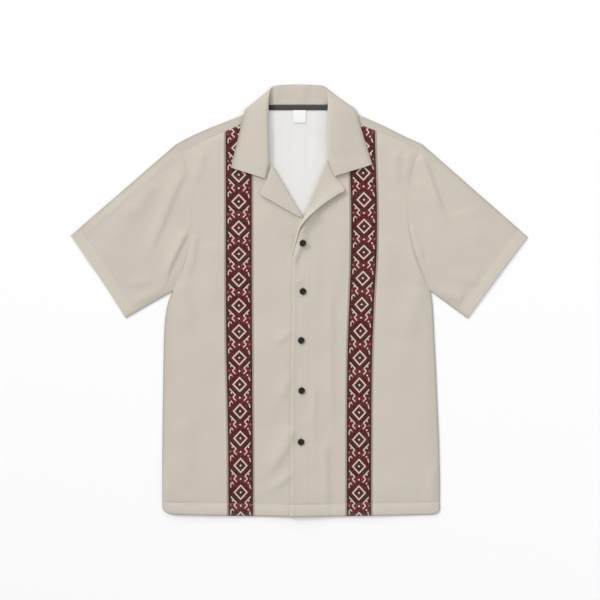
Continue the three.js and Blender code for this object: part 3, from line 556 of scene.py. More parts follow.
class Wall:
    """Cloth between an outer and an inner skin that share their faces, with rounded rims."""

    def __init__(self, outer, inner, faces, marks):
        outer, inner = (np.asarray(skin, float).reshape(-1, 3) for skin in (outer, inner))
        self.outer, self.inner, self.faces = outer, inner, np.asarray(faces)
        self.marks = {name: np.reshape(mark, (-1, np.shape(mark)[-1])) for name, mark in marks.items()}

    @classmethod
    def of_skins(cls, outer, inner, marks, ring=False):
        """A wall between two grids of points."""
        return cls(outer, inner, grid_faces(*outer.shape[:2], ring), marks)

    @classmethod
    def joined(cls, walls):
        """One wall from several that share points."""
        starts = np.cumsum([0] + [len(wall.outer) for wall in walls])
        outer = np.vstack([wall.outer for wall in walls])
        inner = np.vstack([wall.inner for wall in walls])
        faces = np.vstack([wall.faces + start for wall, start in zip(walls, starts)])
        keys = np.round(np.hstack([outer, inner]), 3)
        _, first, back = np.unique(keys, axis=0, return_index=True, return_inverse=True)
        marks = {name: np.vstack([wall.marks[name] for wall in walls])[first] for name in walls[0].marks}
        return cls(outer[first], inner[first], back.reshape(-1)[faces], marks)

    def solid(self):
        """Points, faces, material numbers and the skin point that each point's marks come from."""
        outer, inner, faces = self.outer, self.inner, self.faces
        through = outer - inner
        corners = outer[faces]
        normals = np.cross(corners[:, 2] - corners[:, 0], corners[:, 3] - corners[:, 1])
        if (normals * through[faces[:, 0]]).sum() < 0:
            faces = faces[:, ::-1]
        count = len(outer)
        starts, ends = faces.ravel(), np.roll(faces, -1, axis=1).ravel()
        free = ~np.isin(starts * count + ends, ends * count + starts)
        a, b = starts[free], ends[free]
        rim = np.unique(np.concatenate([a, b]))
        place = np.zeros(count, int)
        place[rim] = np.arange(len(rim)) + 2 * count
        outward = np.zeros((count, 3))
        for end in (a, b):
            np.add.at(outward, end, np.cross(unit(outer[b] - outer[a]), unit(through[end])))
        thick = np.linalg.norm(through, axis=1, keepdims=True)
        middle = (outer + inner) / 2 + unit(outward) * thick * RIM_BULGE
        points = np.vstack([outer, inner, middle[rim]])
        upper_rim = np.stack([b, a, place[a], place[b]], axis=1)
        lower_rim = np.stack([place[b], place[a], a + count, b + count], axis=1)
        quads = np.vstack([faces, faces[:, ::-1] + count, upper_rim, lower_rim])
        slots = np.zeros(len(quads), int)
        slots[len(faces):2 * len(faces)] = 1
        return points, quads, slots, np.concatenate([np.arange(count), np.arange(count), rim])


def mesh_object(name, points, faces, materials, slots=None):
    """A mesh object made of points in millimetres."""
    mesh = bpy.data.meshes.new(name)
    mesh.from_pydata((np.asarray(points, float) * MM).tolist(), [], np.asarray(faces).tolist())
    for material in materials:
        mesh.materials.append(material)
    if slots is not None:
        mesh.polygons.foreach_set("material_index", np.asarray(slots, np.int32))
    mesh.shade_smooth()
    mesh.set_sharp_from_angle(angle=SHARP_ANGLE)
    mesh.validate()
    obj = bpy.data.objects.new(name, mesh)
    bpy.context.scene.collection.objects.link(obj)
    return obj


def painted_edge_shade(points, edges):
    """Painted shade, from 1 along a pressed edge to 0 well inside it."""
    line = np.vstack([resampled(edge, 1.5) for edge in edges])
    tree = KDTree(len(line))
    for i, place in enumerate(line):
        tree.insert(place, i)
    tree.balance()
    away = np.array([tree.find(place)[2] for place in points])
    line_share, fade_share = EDGE_SHARES
    return line_share * np.exp(-((away / EDGE_LINE) ** 2)) + fade_share * np.exp(-away / EDGE_FADES)


def cloth_object(name, wall, materials, edges=()):
    """A wall as an object; its thread attribute holds the place on the cloth and the painted shade."""
    points, quads, slots, source = wall.solid()
    obj = mesh_object(name, points, quads, materials, slots)
    if len(obj.data.vertices) != len(points):
        raise RuntimeError(f"{name} lost points")
    for mark, values in wall.marks.items():
        layer = obj.data.attributes.new(mark, "FLOAT_VECTOR", "POINT")
        full = np.zeros((len(points), 3))
        full[:, :values.shape[1]] = values[source]
        if mark == "thread" and edges:
            full[:, 2] = np.maximum(full[:, 2], painted_edge_shade(points, edges))
        layer.data.foreach_set("vector", full.ravel())
    return obj


def place_piece(obj, nodes):
    """The piece stands for its CAD nodes, which it hides, and hangs under the root body."""
    if nodes:
        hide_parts(*nodes)
    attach(obj, "root")
    return obj


# Plans of the pieces: grids of x and y


def body_row_heights(top, count):
    """Row heights at the side of the body, closer together in the hem."""
    hem = np.concatenate([[0, 1, 2.4, 4.2, 6.5, 9.5, 13.5], np.linspace(17.5, 24, 9)])
    return np.concatenate([HEM_SIDE_Y + hem, np.linspace(HEM_SIDE_Y + 24, top, count)[1:]])[:, None]


FRONT_GRID = (150, 68)
FRONT_WIDTH = 260  # of one front, about


def across(count):
    """Shares from the side of a front to its front edge, closer together beside both."""
    side = np.array([0, 0.12, 0.45, 1, 2, 3.4, 5.4]) / FRONT_WIDTH
    edge = np.array([16, 14, 12.2, 10.6, 9.2, 8, 6.9, 5.9, 4.9, 3.9, 2.9, 2, 1.2, 0.5, 0.12, 0])
    between = np.linspace(8 / FRONT_WIDTH, 1 - 19 / FRONT_WIDTH, count)
    return np.concatenate([side, between, 1 - edge / FRONT_WIDTH])


def front_plan(side):
    """Where the points of a front lie, from its hem up and from its side to the front edge."""
    tip = SHOULDERS[side][0][3] - SEAM_GAP
    neck = SHOULDERS[side][-1][3] - SEAM_GAP
    y = body_row_heights(tip, FRONT_GRID[0])
    u = across(FRONT_GRID[1])[None, :]
    drop = HEM_CENTRE_DROP * (1 - smooth((y - HEM_SIDE_Y) / HEM_DROP_FADES))
    tilt = smooth((y - ROWS_TILT_FROM_Y) / (tip - ROWS_TILT_FROM_Y))
    start = SIDE_EDGE[side](y)
    for _ in range(4):
        start = SIDE_EDGE[side](y + tilt * (SEAM_LINE[side](start) - SEAM_GAP - tip))
    start = start - np.sign(start) * SEAM_GAP / 2
    x = lerp(start, FRONT_EDGE[side](y - drop + tilt * (neck - tip)), u)
    return x, y - drop * u + tilt * (SEAM_LINE[side](x) - SEAM_GAP - tip)


def side_seam_share(y):
    """1 along the side seam and 0 along the armhole above it."""
    return 1 - smooth((y - UNDERARM_Y + SIDE_SEAM_FADES) / SIDE_SEAM_FADES)


def front_skins(side, cloth):
    """Upper and under face of a front, drawn in along its side seam and round at its hem."""
    x, y = front_plan(side)
    bottom = front_bottom(side, x, y, cloth)
    inward = np.abs(SIDE_EDGE[side](y)) - np.abs(x)
    side_seam = side_seam_share(y)
    sinks = (1 - rounded(inward, SEAM_ROLL)) * lerp(ARMHOLE_SINKS, cloth - SEAM_TIGHT, side_seam)
    hem_round = 1 - rounded(hem_height(x, y), HEM_ROLL)
    top = front_top(side, x, y, cloth) - np.maximum(sinks, hem_round * (cloth + HEM_EXTRA - HEM_EDGE))
    bottom = bottom - (1 - rounded(inward, SEAM_ROLL)) * side_seam * SIDE_SEAM_SINKS
    return np.stack([x, y, top], axis=-1), np.stack([x, y, bottom], axis=-1)


def front_marks(side, x, y):
    """Where a point lies on the cloth, in the printed band and in the hem."""
    across_band = (x - BAND_MIDDLE[side](y)) / STEP[side](y)
    return {
        "thread": np.stack([x, y], axis=-1),
        "band": np.stack([across_band, BAND_COUNT[side](y)], axis=-1),
        "layers": layers_mark(turned_up(hem_height(x, y))),
    }


def layers_mark(share):
    """Where the cloth lies double; it looks paler there."""
    return np.stack([share, 0 * share], axis=-1)


PANEL_COLUMNS = 34
STRIP_DEPTH = 15  # from a shoulder fold to the front seam, about


def back_top(x):
    """The back's upper edge: the shoulder folds, and the neck seam between them."""
    right, left = SHOULDERS["right"][-1], SHOULDERS["left"][-1]
    t = np.clip(np.minimum(x - right[0], left[0] - x) / NECK_BLEND, 0, 1)
    between = (x > right[0]) & (x < left[0])
    return np.where(between, lerp(right[1], NECK_SEAM_Y, smooth(t)), by_side(x, FOLD_LINE, x))


def back_panels(cloth, radius):
    """Under and inner face of the back's three parts: right of the neck, behind it and left of it."""
    tip = SHOULDER_TIP_Y
    start, end = (SHOULDERS[side][0][0] for side in SIDES)
    neck = [(SHOULDERS[side][-1][0] - start) / (end - start) for side in SIDES]
    y = body_row_heights(tip - radius, 120)
    drop = HEM_CENTRE_DROP * (1 - smooth((y - HEM_SIDE_Y) / HEM_DROP_FADES))
    tilt = smooth((y - ROWS_TILT_FROM_Y) / (tip - radius - ROWS_TILT_FROM_Y))
    ends = [SIDE_EDGE[side](y) for side in SIDES]
    for _ in range(4):
        ends = [SIDE_EDGE[side](y + tilt * (back_top(x) - tip)) for side, x in zip(SIDES, ends)]
    panels = []
    for low, high in ((0, neck[0]), (neck[0], neck[1]), (neck[1], 1)):
        u = np.linspace(low, high, PANEL_COLUMNS)
        x = lerp(ends[0], ends[1], u[None, :])
        py = y - drop * (1 - np.abs(2 * u - 1)) + tilt * (back_top(x) - tip)
        inward = np.abs(by_side(x, SIDE_EDGE, py)) - np.abs(x)
        lift = neck_lift(x, py)
        folds = UNDERSIDE_FOLDS["back"] * rise(inward, PUFF_RISES) * crease_height(BACK_CREASES, x, py)
        drawn_up = (1 - rounded(inward, SEAM_ROLL)) * side_seam_share(py) * (cloth - SEAM_TIGHT)
        under = np.stack([x, py, lift + folds + drawn_up], axis=-1)
        inside = np.stack([x, py, lift + cloth + folds], axis=-1)
        panels.append([under, inside])
    return panels


def shoulder_strips(side, cloth, radius):
    """Rows of both faces of the strip that turns over a shoulder and forward to the front seam."""
    table = np.array(SHOULDERS[side])
    along = np.linspace(0, 1, PANEL_COLUMNS) if side == "right" else np.linspace(1, 0, PANEL_COLUMNS)
    fold_x = lerp(table[0, 0], table[-1, 0], along)
    seam_x = lerp(table[0, 2], table[-1, 2], along)
    fold = np.stack([fold_x, FOLD_LINE[side](fold_x)], axis=-1)
    seam = np.stack([seam_x, SEAM_LINE[side](seam_x)], axis=-1)
    into = unit(seam - fold)
    depth = np.linalg.norm(seam - fold, axis=-1)
    strips = [[], []]
    for angle in np.linspace(-math.pi / 2, math.pi / 2, 9):
        for strip, bend in zip(strips, (radius, radius - cloth)):
            place = fold + into * (radius - bend * math.cos(angle))
            height = radius + bend * math.sin(angle) + neck_lift(place[:, 0], place[:, 1])
            strip.append(np.column_stack([place, height]))
    for share in np.linspace(0, 1, 9)[1:]:
        place = fold + into * lerp(radius, depth, share)[:, None]
        lift = neck_lift(place[:, 0], place[:, 1]) + 0.5 * pucker((1 - share) * 12 - 5, place[:, 0])
        lift = lift - pressed((1 - share) * STRIP_DEPTH, 0, *SEAM_LINE_SINKS)
        for strip, height in zip(strips, (2 * radius, 2 * radius - cloth)):
            strip.append(np.column_stack([place, height + lift]))
    return [np.array(strip) for strip in strips]


def back_wall(cloth):
    """The back with its two strips turned over the shoulders and forward to the front seams."""
    radius = fold_radius(cloth)
    panels = back_panels(cloth, radius)
    rows = len(panels[0][0])
    for part, side in ((0, "right"), (2, "left")):
        strips = shoulder_strips(side, cloth, radius)
        panels[part] = [np.concatenate([skin[:-1], strip]) for skin, strip in zip(panels[part], strips)]
    for k in (0, 1):
        panels[1][k][:, 0] = panels[0][k][:rows, -1]
        panels[1][k][:, -1] = panels[2][k][:rows, 0]
    walls = []
    for outer, inner in panels:
        layers = layers_mark(turned_up(hem_height(outer[..., 0], outer[..., 1])))
        walls.append(Wall.of_skins(outer, inner, {"thread": outer[..., :2], "layers": layers}))
    return Wall.joined(walls)


def back_edges(cloth):
    """Shoulder folds, side seams and hem of the back, along which shade is painted."""
    edges = []
    y = np.linspace(HEM_SIDE_Y, UNDERARM_Y, 200)
    for side in SIDES:
        x = np.linspace(SHOULDERS[side][0][0], SHOULDERS[side][-1][0], 80)
        edges.append(np.column_stack([x, FOLD_LINE[side](x), 0 * x + fold_radius(cloth)]))
        edges.append(np.column_stack([SIDE_EDGE[side](y), y, 0 * y]))
    x = np.linspace(*HEM_ENDS, 200)
    return [*edges, np.column_stack([x, hem_line(x), 0 * x])]


def sleeve_plan(side, s, t):
    """Plan of a sleeve from its fold (s = 0) to the underarm (1) and from armhole (t = 0) to cuff (1)."""
    y = lerp(SHOULDER_TIP_Y, UNDERARM_Y, s)
    x = SIDE_EDGE[side](y)
    cuff = CUFFS[side](s)
    length = np.hypot(cuff[..., 0] - x, cuff[..., 1] - y)
    along = lerp(SEAM_GAP / length, 1, t)
    return lerp(x, cuff[..., 0], along), lerp(y, cuff[..., 1], along), length * (1 - along)


def sleeve_width(side, t):
    """From the fold to the underarm seam."""
    ends = [np.array(sleeve_plan(side, np.array(float(s)), t)[:2]) for s in (0, 1)]
    return np.hypot(*(ends[1] - ends[0]))


def sleeve_free(s, t):
    """From 0 at the sleeve's seams to 1 away from them."""
    return (1 - np.exp(-60 * np.minimum(s, 1 - s))) * (1 - np.exp(-50 * t))


def sleeve_top(side, s, t, cloth):
    """Lower and upper face of a sleeve's upper layer."""
    x, y, left = sleeve_plan(side, s, t)
    from_armhole = lerp(held_up(lerp(SHOULDER_TIP_Y, UNDERARM_Y, s)), 1, 1 - np.exp(-9 * t))
    free = (1 - np.exp(-14 * np.minimum(s, 1 - s))) * from_armhole
    along = s * SLEEVE_WAVES[0]
    waves = pucker(left - HEM_DEPTH, along) + SIDE_PUCKERS * pucker(t * SLEEVE_WAVES[1] - STITCH_ROW, along)
    settles = CUFF_SETTLES + (1 - CUFF_SETTLES) * smooth(left / CUFF_SETTLES_OVER)
    valley = CUFF_VALLEY * hem_valley(left)
    puffed = SLEEVE_SINKS + SLEEVE_PUFF + ripples(x + 60, y - 90) + waves - valley
    low = FRONT_BED - SLEEVE_SINKS + free * settles * puffed
    low = low + sleeve_free(s, t) * settles * crease_height(SLEEVE_CREASES, x, y)
    return x, y, low, low + cloth + HEM_EXTRA * turned_up(left)


def sleeve_shares(middle):
    """Shares along a sleeve and round one layer of it, closer together at its edges."""
    hem = [np.linspace(0.885, 0.925, 9), np.linspace(0.93, 0.99, 6), [0.997, 1]]
    t = np.concatenate([[0, 0.004, 0.012], np.linspace(0.02, 0.88, 56), *hem])
    turn = middle / SLEEVE_LAYER
    edge = np.array([0, 0.04, 0.16, 0.4, 0.75]) * turn
    s = np.concatenate([edge, np.linspace(turn, 1 - turn, 76), 1 - edge[::-1]])
    return s[None, :], t[:, None]


def sleeve_wall(side, cloth):
    """A flattened tube, flat underneath."""
    middle = fold_radius(cloth)
    s, t = sleeve_shares(middle)
    width = sleeve_width(side, t)
    margin = cloth / width
    s_in = lerp(margin, 1 - margin, s)
    reach = np.minimum(s, 1 - s) * width
    round_out, round_in = rounded(reach, middle), rounded(reach, middle * 0.5)
    shorter = 1 - CUFF_SHOWS / SLEEVE_LENGTH
    x, y, low, high = sleeve_top(side, s, t * shorter, cloth)
    xi, yi, low_in, _ = sleeve_top(side, s_in, t * shorter, cloth)
    top_out = np.stack([x, y, middle + (high - middle) * round_out], axis=-1)
    top_in = np.stack([xi, yi, middle + (low_in - middle) * round_in], axis=-1)
    x, y, _ = sleeve_plan(side, s, t)
    xi, yi, _ = sleeve_plan(side, s_in, t)
    held = sleeve_free(s, t) * smooth((1 - t) / 0.15)
    folds = UNDERSIDE_FOLDS["sleeve"] * held * crease_height(SLEEVE_CREASES, x, y)
    folds = np.minimum(folds, UNDERSIDE_FOLDS["sleeve_most"])
    under_out = np.stack([x, y, middle - middle * round_out + folds], axis=-1)
    under_in = np.stack([xi, yi, middle - (middle - cloth) * round_in + folds], axis=-1)
    for top, under in ((top_out, under_out), (top_in, under_in)):
        for column in (0, -1):
            top[:, column] = (top[:, column] + under[:, column]) / 2
    outer = np.concatenate([top_out, under_out[:, -2:0:-1]], axis=1)
    inner = np.concatenate([top_in, under_in[:, -2:0:-1]], axis=1)
    round_the_arm = np.concatenate([s[0], 2 - s[0, -2:0:-1]])[None, :] * width
    down = np.broadcast_to(t * SLEEVE_LENGTH, round_the_arm.shape)
    upper, lower = (turned_up(sleeve_plan(side, s, share)[2]) for share in (t * shorter, t))
    marks = {
        "thread": np.stack([round_the_arm, down], axis=-1),
        "layers": layers_mark(np.concatenate([upper, lower[:, -2:0:-1]], axis=1)),
    }
    return Wall.of_skins(outer, inner, marks, ring=True), [top_out[:, 0], top_out[:, -1]]


def lapel_skins(side, cloth):
    """The facing turned out over the front along the roll line."""
    table = Run([(i, *row) for i, row in enumerate(LAPELS[side])])
    inward = 1 if side == "right" else -1
    rows = table(np.linspace(0, len(LAPELS[side]) - 1, 90))
    roll, edge = rows[:, None, 0:2] + (inward * LAPEL_NOSE, 0), rows[:, None, 2:4]
    u = np.concatenate([[0, 0.004, 0.015, 0.035, 0.06], np.linspace(0.1, 0.98, 22), [1]])[None, :, None]
    plan = lerp(roll, edge, u)
    x, y = plan[..., 0], plan[..., 1]
    u = u[..., 0]
    wide = np.linalg.norm(edge - roll, axis=-1)
    under_collar = smooth((roll[..., 1] - LAPEL_DIVES[0]) / LAPEL_DIVES[1])
    lift = LAPEL_EDGE_LIFTS[side] * smooth(u) * smooth((wide - 2) / 10) * (1 - under_collar)
    sag = LAPEL_SAG * np.sin(y / 9) * smooth(u)
    base = front_top(side, x, y, cloth) + LAPEL_GAP + lift + sag
    thick = LAPEL_WALL + LAPEL_ROLL * (1 - smooth(u / LAPEL_ROLL_ENDS))
    thick = thick * lerp(0.25, 1, smooth(wide / 10))
    half = thick / 2 * rounded(u * wide, LAPEL_NOSE)
    top = np.stack([x, y, base + thick / 2 + half + 0.02], axis=-1)
    bottom = np.stack([x, y, base + thick / 2 - half], axis=-1)
    down = (roll - roll[:1]) @ np.array([0, 1])
    return top, bottom, np.stack([u * wide, down + 0 * x], axis=-1)


def catmull_rom(points, samples):
    """Centripetal curve through points[k][i] for every row i, at even shares."""
    first, last = 2 * points[0] - points[1], 2 * points[-1] - points[-2]
    run = [first, *points, last]
    spans = len(points) - 1
    grid = []
    for share in np.linspace(0, spans, samples):
        k = min(int(share), spans - 1)
        t = share - k
        p0, p1, p2, p3 = run[k:k + 4]
        d0, d1, d2 = (
            np.sqrt(np.linalg.norm(b - a, axis=-1, keepdims=True)) for a, b in ((p0, p1), (p1, p2), (p2, p3))
        )
        m1 = ((p1 - p0) / d0 - (p2 - p0) / (d0 + d1) + (p2 - p1) / d1) * d1
        m2 = ((p2 - p1) / d1 - (p3 - p1) / (d1 + d2) + (p3 - p2) / d2) * d1
        cubic = 2 * p1 - 2 * p2 + m1 + m2
        square = -3 * p1 + 3 * p2 - 2 * m1 - m2
        grid.append(p1 + m1 * t + square * t**2 + cubic * t**3)
    return np.stack(grid, axis=1)


def painted_stand_shadow(x):
    """Painted shadow on the stand where it goes under the leaf at its two ends, fainter at the right."""
    left = STAND_SHADOW_PAINTED["shade"] * (1 - smooth((x - STAND_SHADOW_PAINTED["left"]) / STAND_SHADOW_PAINTED["over"]))
    right = STAND_SHADOW_PAINTED["faint"] * np.exp(-(((x - STAND_SHADOW_PAINTED["right"]) / STAND_SHADOW_PAINTED["half"]) ** 2))
    return np.maximum(left, right)


def collar_skins():
    """Stand, roll and fall as one sheet, which goes under the back of the neck."""
    table = Run([(i, *row) for i, row in enumerate(COLLAR)])
    rows = table(np.linspace(0, len(COLLAR) - 1, 220))
    fall, roll, neck, turn = rows[:, 0:3], rows[:, 3:6], rows[:, 6:9], rows[:, 9:10]

    def near(other, lift):
        flat = (other - roll) * (1, 1, 0)
        width = np.linalg.norm(flat, axis=-1, keepdims=True)
        reach = np.minimum(COLLAR_TURN_REACH, COLLAR_TURN_SHARE * width)
        return roll + unit(flat) * reach + lift * np.array([0, 0, 1])

    middle = catmull_rom([fall, near(fall, turn), roll, near(neck, -turn), neck], COLLAR_ACROSS)
    share = np.linspace(0, 1, COLLAR_ACROSS)[None, :]
    x, y = middle[..., 0], middle[..., 1]
    leaf = smooth((0.48 - share) / 0.4) * smooth(turn / 1.2)
    roll_y = y[:, COLLAR_ACROSS // 2, None]
    stand = smooth((share - 0.55) / 0.15) * smooth((1 - share) / 0.1) * smooth((roll_y - 330) / 20)
    leaf_waves = 0.35 * np.sin(y / 17 + 0.6) + 0.25 * np.sin(x / 9)
    stand_waves = 0.55 * np.sin(x / 7.5 + 0.8) + 0.3 * np.sin(x / 3.9)
    middle[..., 2] += leaf * leaf_waves
    middle[..., 2] += stand * stand_waves
    along = np.gradient(middle, axis=0)
    over = np.gradient(middle, axis=1)
    offset = unit(np.cross(along, over)) * COLLAR_WALL / 2
    outer, inner = middle + offset, middle - offset
    for skin in (outer, inner):
        skin[..., 2] = np.maximum(skin[..., 2], 0)
    length = np.cumsum(np.linalg.norm(along[:, :1], axis=-1), axis=0) * np.ones(share.shape)
    width = np.cumsum(np.linalg.norm(over, axis=-1), axis=1)
    # Painted shadow on the stand, kept in the thread attribute's third part
    on_stand = (share > 0.53) * smooth((y - STAND_SHADOW_PAINTED["from_y"]) / 8)
    shade = painted_stand_shadow(x) * on_stand
    return outer, inner, np.stack([length, width, shade], axis=-1)


def collar_outline(outer):
    """Line round the back of the neck where the collar turns out of sight, along which shade is painted."""
    points = outer.reshape(-1, 3)
    line = []
    for turn in np.radians(np.linspace(172, 8, 83)):
        reach = (points - (0, 300, 0)) @ (math.cos(turn), math.sin(turn), 0)
        line.append(points[reach.argmax()])
    return np.array(line)


def patch_skins(patch, columns, rows, thick, bulge):
    """A strip that lies inside the back."""
    x = np.linspace(patch["left"], patch["right"], columns)[None, :]
    y = np.linspace(patch["low"], patch["high"], rows)[:, None]
    x, y = x + 0 * y, y + 0 * x
    middle = np.sin(np.clip((y - patch["low"]) / (patch["high"] - patch["low"]), 0, 1) * math.pi)
    base = neck_lift(x, y) + BACK_PANEL + LAYER_GAP + bulge * middle * (0.7 + 0.3 * np.sin(x / 3.1))
    low, high = np.stack([x, y, base], axis=-1), np.stack([x, y, base + thick], axis=-1)
    return high, low, {"thread": np.stack([x, y], axis=-1)}


# Node trees


class Value:
    """An output of a node tree that can stand in an expression."""

    def __init__(self, tree, socket):
        self.tree, self.socket = tree, socket

    def __abs__(self):
        return self.tree.math("ABSOLUTE", self)


def maths(operation, swapped=False):
    """A method of Value that adds one math node."""

    def method(self, other):
        pair = (other, self) if swapped else (self, other)
        return self.tree.math(operation, *pair)

    return method


for sign, operation in (("add", "ADD"), ("sub", "SUBTRACT"), ("mul", "MULTIPLY"), ("truediv", "DIVIDE")):
    setattr(Value, f"__{sign}__", maths(operation))
    setattr(Value, f"__r{sign}__", maths(operation, swapped=True))
for sign, operation in (("lt", "LESS_THAN"), ("gt", "GREATER_THAN")):
    setattr(Value, f"__{sign}__", maths(operation))


class Tree:
    """A node tree written as expressions."""

    def __init__(self, nodes):
        self.nodes = nodes
        self.nodes.nodes.clear()

    def node(self, kind, settings=None, inputs=None):
        """One node: its settings first, then the values or links of its sockets, by name or number."""
        made = self.nodes.nodes.new(kind)
        for name, value in (settings or {}).items():
            setattr(made, name, value)
        for name, value in (inputs or {}).items():
            self.feed(made.inputs[name], value)
        return made

    def feed(self, socket, value):
        if isinstance(value, Value):
            self.nodes.links.new(value.socket, socket)
        elif isinstance(value, bpy.types.NodeSocket):
            self.nodes.links.new(value, socket)
        else:
            socket.default_value = value

    def value(self, kind, settings=None, inputs=None, output=0):
        return Value(self, self.node(kind, settings, inputs).outputs[output])

    def math(self, operation, *values):
        return self.value("ShaderNodeMath", {"operation": operation}, dict(enumerate(values)))

    def mix(self, factor, a, b):
        settings = {"data_type": "RGBA", "clamp_factor": True}
        return self.value("ShaderNodeMix", settings, {0: factor, 6: a, 7: b}, output=2)

    def least(self, a, b):
        return self.math("MINIMUM", a, b)

    def attribute(self, name):
        settings = {"attribute_type": "GEOMETRY", "attribute_name": name}
        return self.value("ShaderNodeAttribute", settings, output=1)

    def split(self, vector):
        parts = self.node("ShaderNodeSeparateXYZ", None, {0: vector})
        return [Value(self, part) for part in parts.outputs]

    def vector(self, x, y, z):
        return self.value("ShaderNodeCombineXYZ", None, {0: x, 1: y, 2: z})

    def noise(self, vector, scale, detail=2.0, rough=0.5):
        inputs = {"Vector": vector, "Scale": scale, "Detail": detail, "Roughness": rough}
        return self.value("ShaderNodeTexNoise", None, inputs, output=0)

    def bump(self, height, distance, strength):
        inputs = {"Height": height, "Distance": distance, "Strength": strength}
        return self.value("ShaderNodeBump", None, inputs)

    def wave(self, value, pitch):
        """A sine wave that comes back after each pitch."""
        return self.math("SINE", value * (2 * math.pi / pitch))

    def place(self):
        """Places in the object, in metres."""
        return self.value("ShaderNodeTexCoord", output=3)


def surface(tree, inputs):
    """The tree's shader and output."""
    shader = tree.node("ShaderNodeBsdfPrincipled", None, inputs)
    tree.node("ShaderNodeOutputMaterial", None, {"Surface": shader.outputs[0]})


def new_material(name):
    """A material and its empty tree."""
    material = bpy.data.materials.new(name)
    material.use_nodes = True
    return material, Tree(material.node_tree)


def shade_of(colour, factor=1.0):
    """The colour, paler or darker by a factor."""
    return (colour[0] * factor, colour[1] * factor, colour[2] * factor, 1)


def weave(tree, thread, pitch):
    """Height of plain woven yarns from 0 to 1, and a slow unevenness of the yarns around 0."""
    x, y, _ = tree.split(thread)
    warp = tree.wave(x, pitch)
    weft = tree.wave(y, pitch)
    along = tree.noise(tree.vector(x * 2.2, y * 0.06, 0.0), SLUB)
    over = tree.noise(tree.vector(x * 0.06, y * 2.2, 7.0), SLUB)
    uneven = along + over - 1.0
    return warp * weft * 0.25 + 0.5 + uneven * 0.4, uneven


def shirting(name, colours, printed=False):
    """Woven shirting, with the printed band where the cloth carries one, and painted shade along its edges.
    """
    material, tree = new_material(name)
    thread = tree.attribute("thread")
    height, uneven = weave(tree, thread, YARN)
    clouds = tree.noise(thread, 0.02, 3.0)
    cloth = tuple(colours.cloth)
    shade = tree.mix(uneven * 1.2 + 0.5, shade_of(cloth, 0.955), shade_of(cloth, 1.045))
    shade = tree.mix((clouds - 0.5) * 0.8 + 0.35, shade, shade_of(cloth, 1.03))
    double = tree.split(tree.attribute("layers"))[0]
    shade = tree.mix(double * HEM_PALER, shade, shade_of(cloth, 1.9))
    if printed:
        shade = print_band(tree, shade, uneven, colours)
    # Painted shade along the edges and under the collar's leaf, kept in the thread attribute's third part
    edge = tree.split(thread)[2]
    shade = tree.mix(edge * EDGE_SHADE_PAINTED, shade, shade_of(tuple(c * 0.35 for c in cloth)))
    inputs = {
        "Base Color": shade,
        "Roughness": 0.9,
        "Specular IOR Level": 0.14,
        "Sheen Weight": 0.1,
        "Sheen Roughness": 0.45,
        "Normal": tree.bump(height, 0.00005, 0.55),
    }
    surface(tree, inputs)
    return material


def print_band(tree, shade, uneven, colours):
    """Diamonds on a red ground between dark lines, charted in steps across and down from each diamond."""
    across_band, count, _ = tree.split(tree.attribute("band"))
    chart = tree.vector(across_band, count * REPEAT, 0.0)
    frayed = tree.noise(chart, 0.9, 1.0) - 0.5
    out = abs(across_band) + frayed * 0.35
    down = tree.math("FRACT", count) * REPEAT + frayed * 0.35
    near = tree.least(down, REPEAT - down)
    ring = out + near
    on_left = across_band < 0.0
    on_right = 1.0 - on_left

    def within(value, middle, half):
        return abs(value - middle) < half

    def between(value, low, high):
        return (value > low) * (value < high)

    def dot(x, y, radius):
        return abs(out - x) + abs(down - y) < radius

    def falling(total, low, high, half):
        """A diagonal on which out and down add up to total."""
        return within(out + down, total, half) * between(out, low, high)

    def rising(difference, low, high, half):
        return within(down - out, difference, half) * between(out, low, high)

    dark, white = shade_of(colours.print_dark), shade_of(colours.print_white)
    lining = shade_of(colours.print_red, 0.3)
    mottled = tree.noise(chart, 0.75, 2.0, 0.6)
    flecks = (mottled - 0.5) * 4.0 + 0.5
    red = tree.mix(flecks, shade_of(colours.print_red, 0.45), shade_of(colours.print_red, 1.5))
    bright = tree.mix(flecks, shade_of(colours.print_red, 0.9), shade_of(colours.print_red, 2.6))
    red = tree.mix((out < 6.0) * between(down, 9.5, 16.6) * 0.6, red, bright)
    broken = mottled > 0.5
    lines = [
        (between(out, 16.0, 16.8) * 0.45, white),
        (between(out, 13.9, 15.0) * 0.85, shade_of(colours.print_pink)),
        (between(out, 13.1, 13.9) * 0.85, shade_of(colours.print_grey)),
        (out < 13.1, dark),
        (out < 12.0, red),
        (between(out, 11.3, 12.0) * 0.5, lining),
        (within(ring, 11.6, 0.9) * (out < 11.4) * (0.75 + broken * 0.25), dark),
        (within(ring, 9.4, 0.45) * broken * 0.8, dark),
        (within(ring, 14.1, 0.45) * (out < 10.8) * broken * 0.7, dark),
        (dot(0.0, 13.05, 2.7), dark),
        (dot(0.0, 13.05, 1.3), white),
        (within(ring, 6.7, 1.75), lining),
        (within(ring, 6.7, 0.98), white),
        (ring < 3.1, dark),
        (ring < 1.35, white),
        (dot(10.4, 8.4, 1.5), dark),
        (dot(9.0, 18.4, 1.5), dark),
        (falling(14.85, 4.4, 10.9, 1.75), lining),
        (rising(5.5, 4.4, 7.4, 1.7), lining),
        (falling(19.9, 4.2, 7.4, 1.75), lining),
        (falling(14.85, 4.4, 10.5, 0.84), white),
        (rising(5.5, 4.4, 7.4, 0.84), white),
        (falling(19.9, 4.2, 7.4, 0.84), white),
        (dot(8.7, 8.3, 1.0), white),
        (dot(10.8, 12.7, 1.2), shade_of(colours.print_grey, 0.6)),
        (falling(25.4, 7.4, 9.1, 0.7) * on_left, white),
        (rising(7.3, 9.0, 11.0, 0.7) * on_left, white),
        (within(out, 10.6, 0.5) * between(down, 18.0, 21.4) * on_left, white),
        (dot(8.2, 16.9, 1.1) * on_right, white),
        (within(out * 3.4 - down, 13.4, 1.9) * between(down, 18.6, 22.6) * on_right, white),
    ]
    printed = shade
    for mask, colour in lines:
        printed = tree.mix(mask, printed, colour)
    return tree.mix(uneven * 0.25, printed, shade)


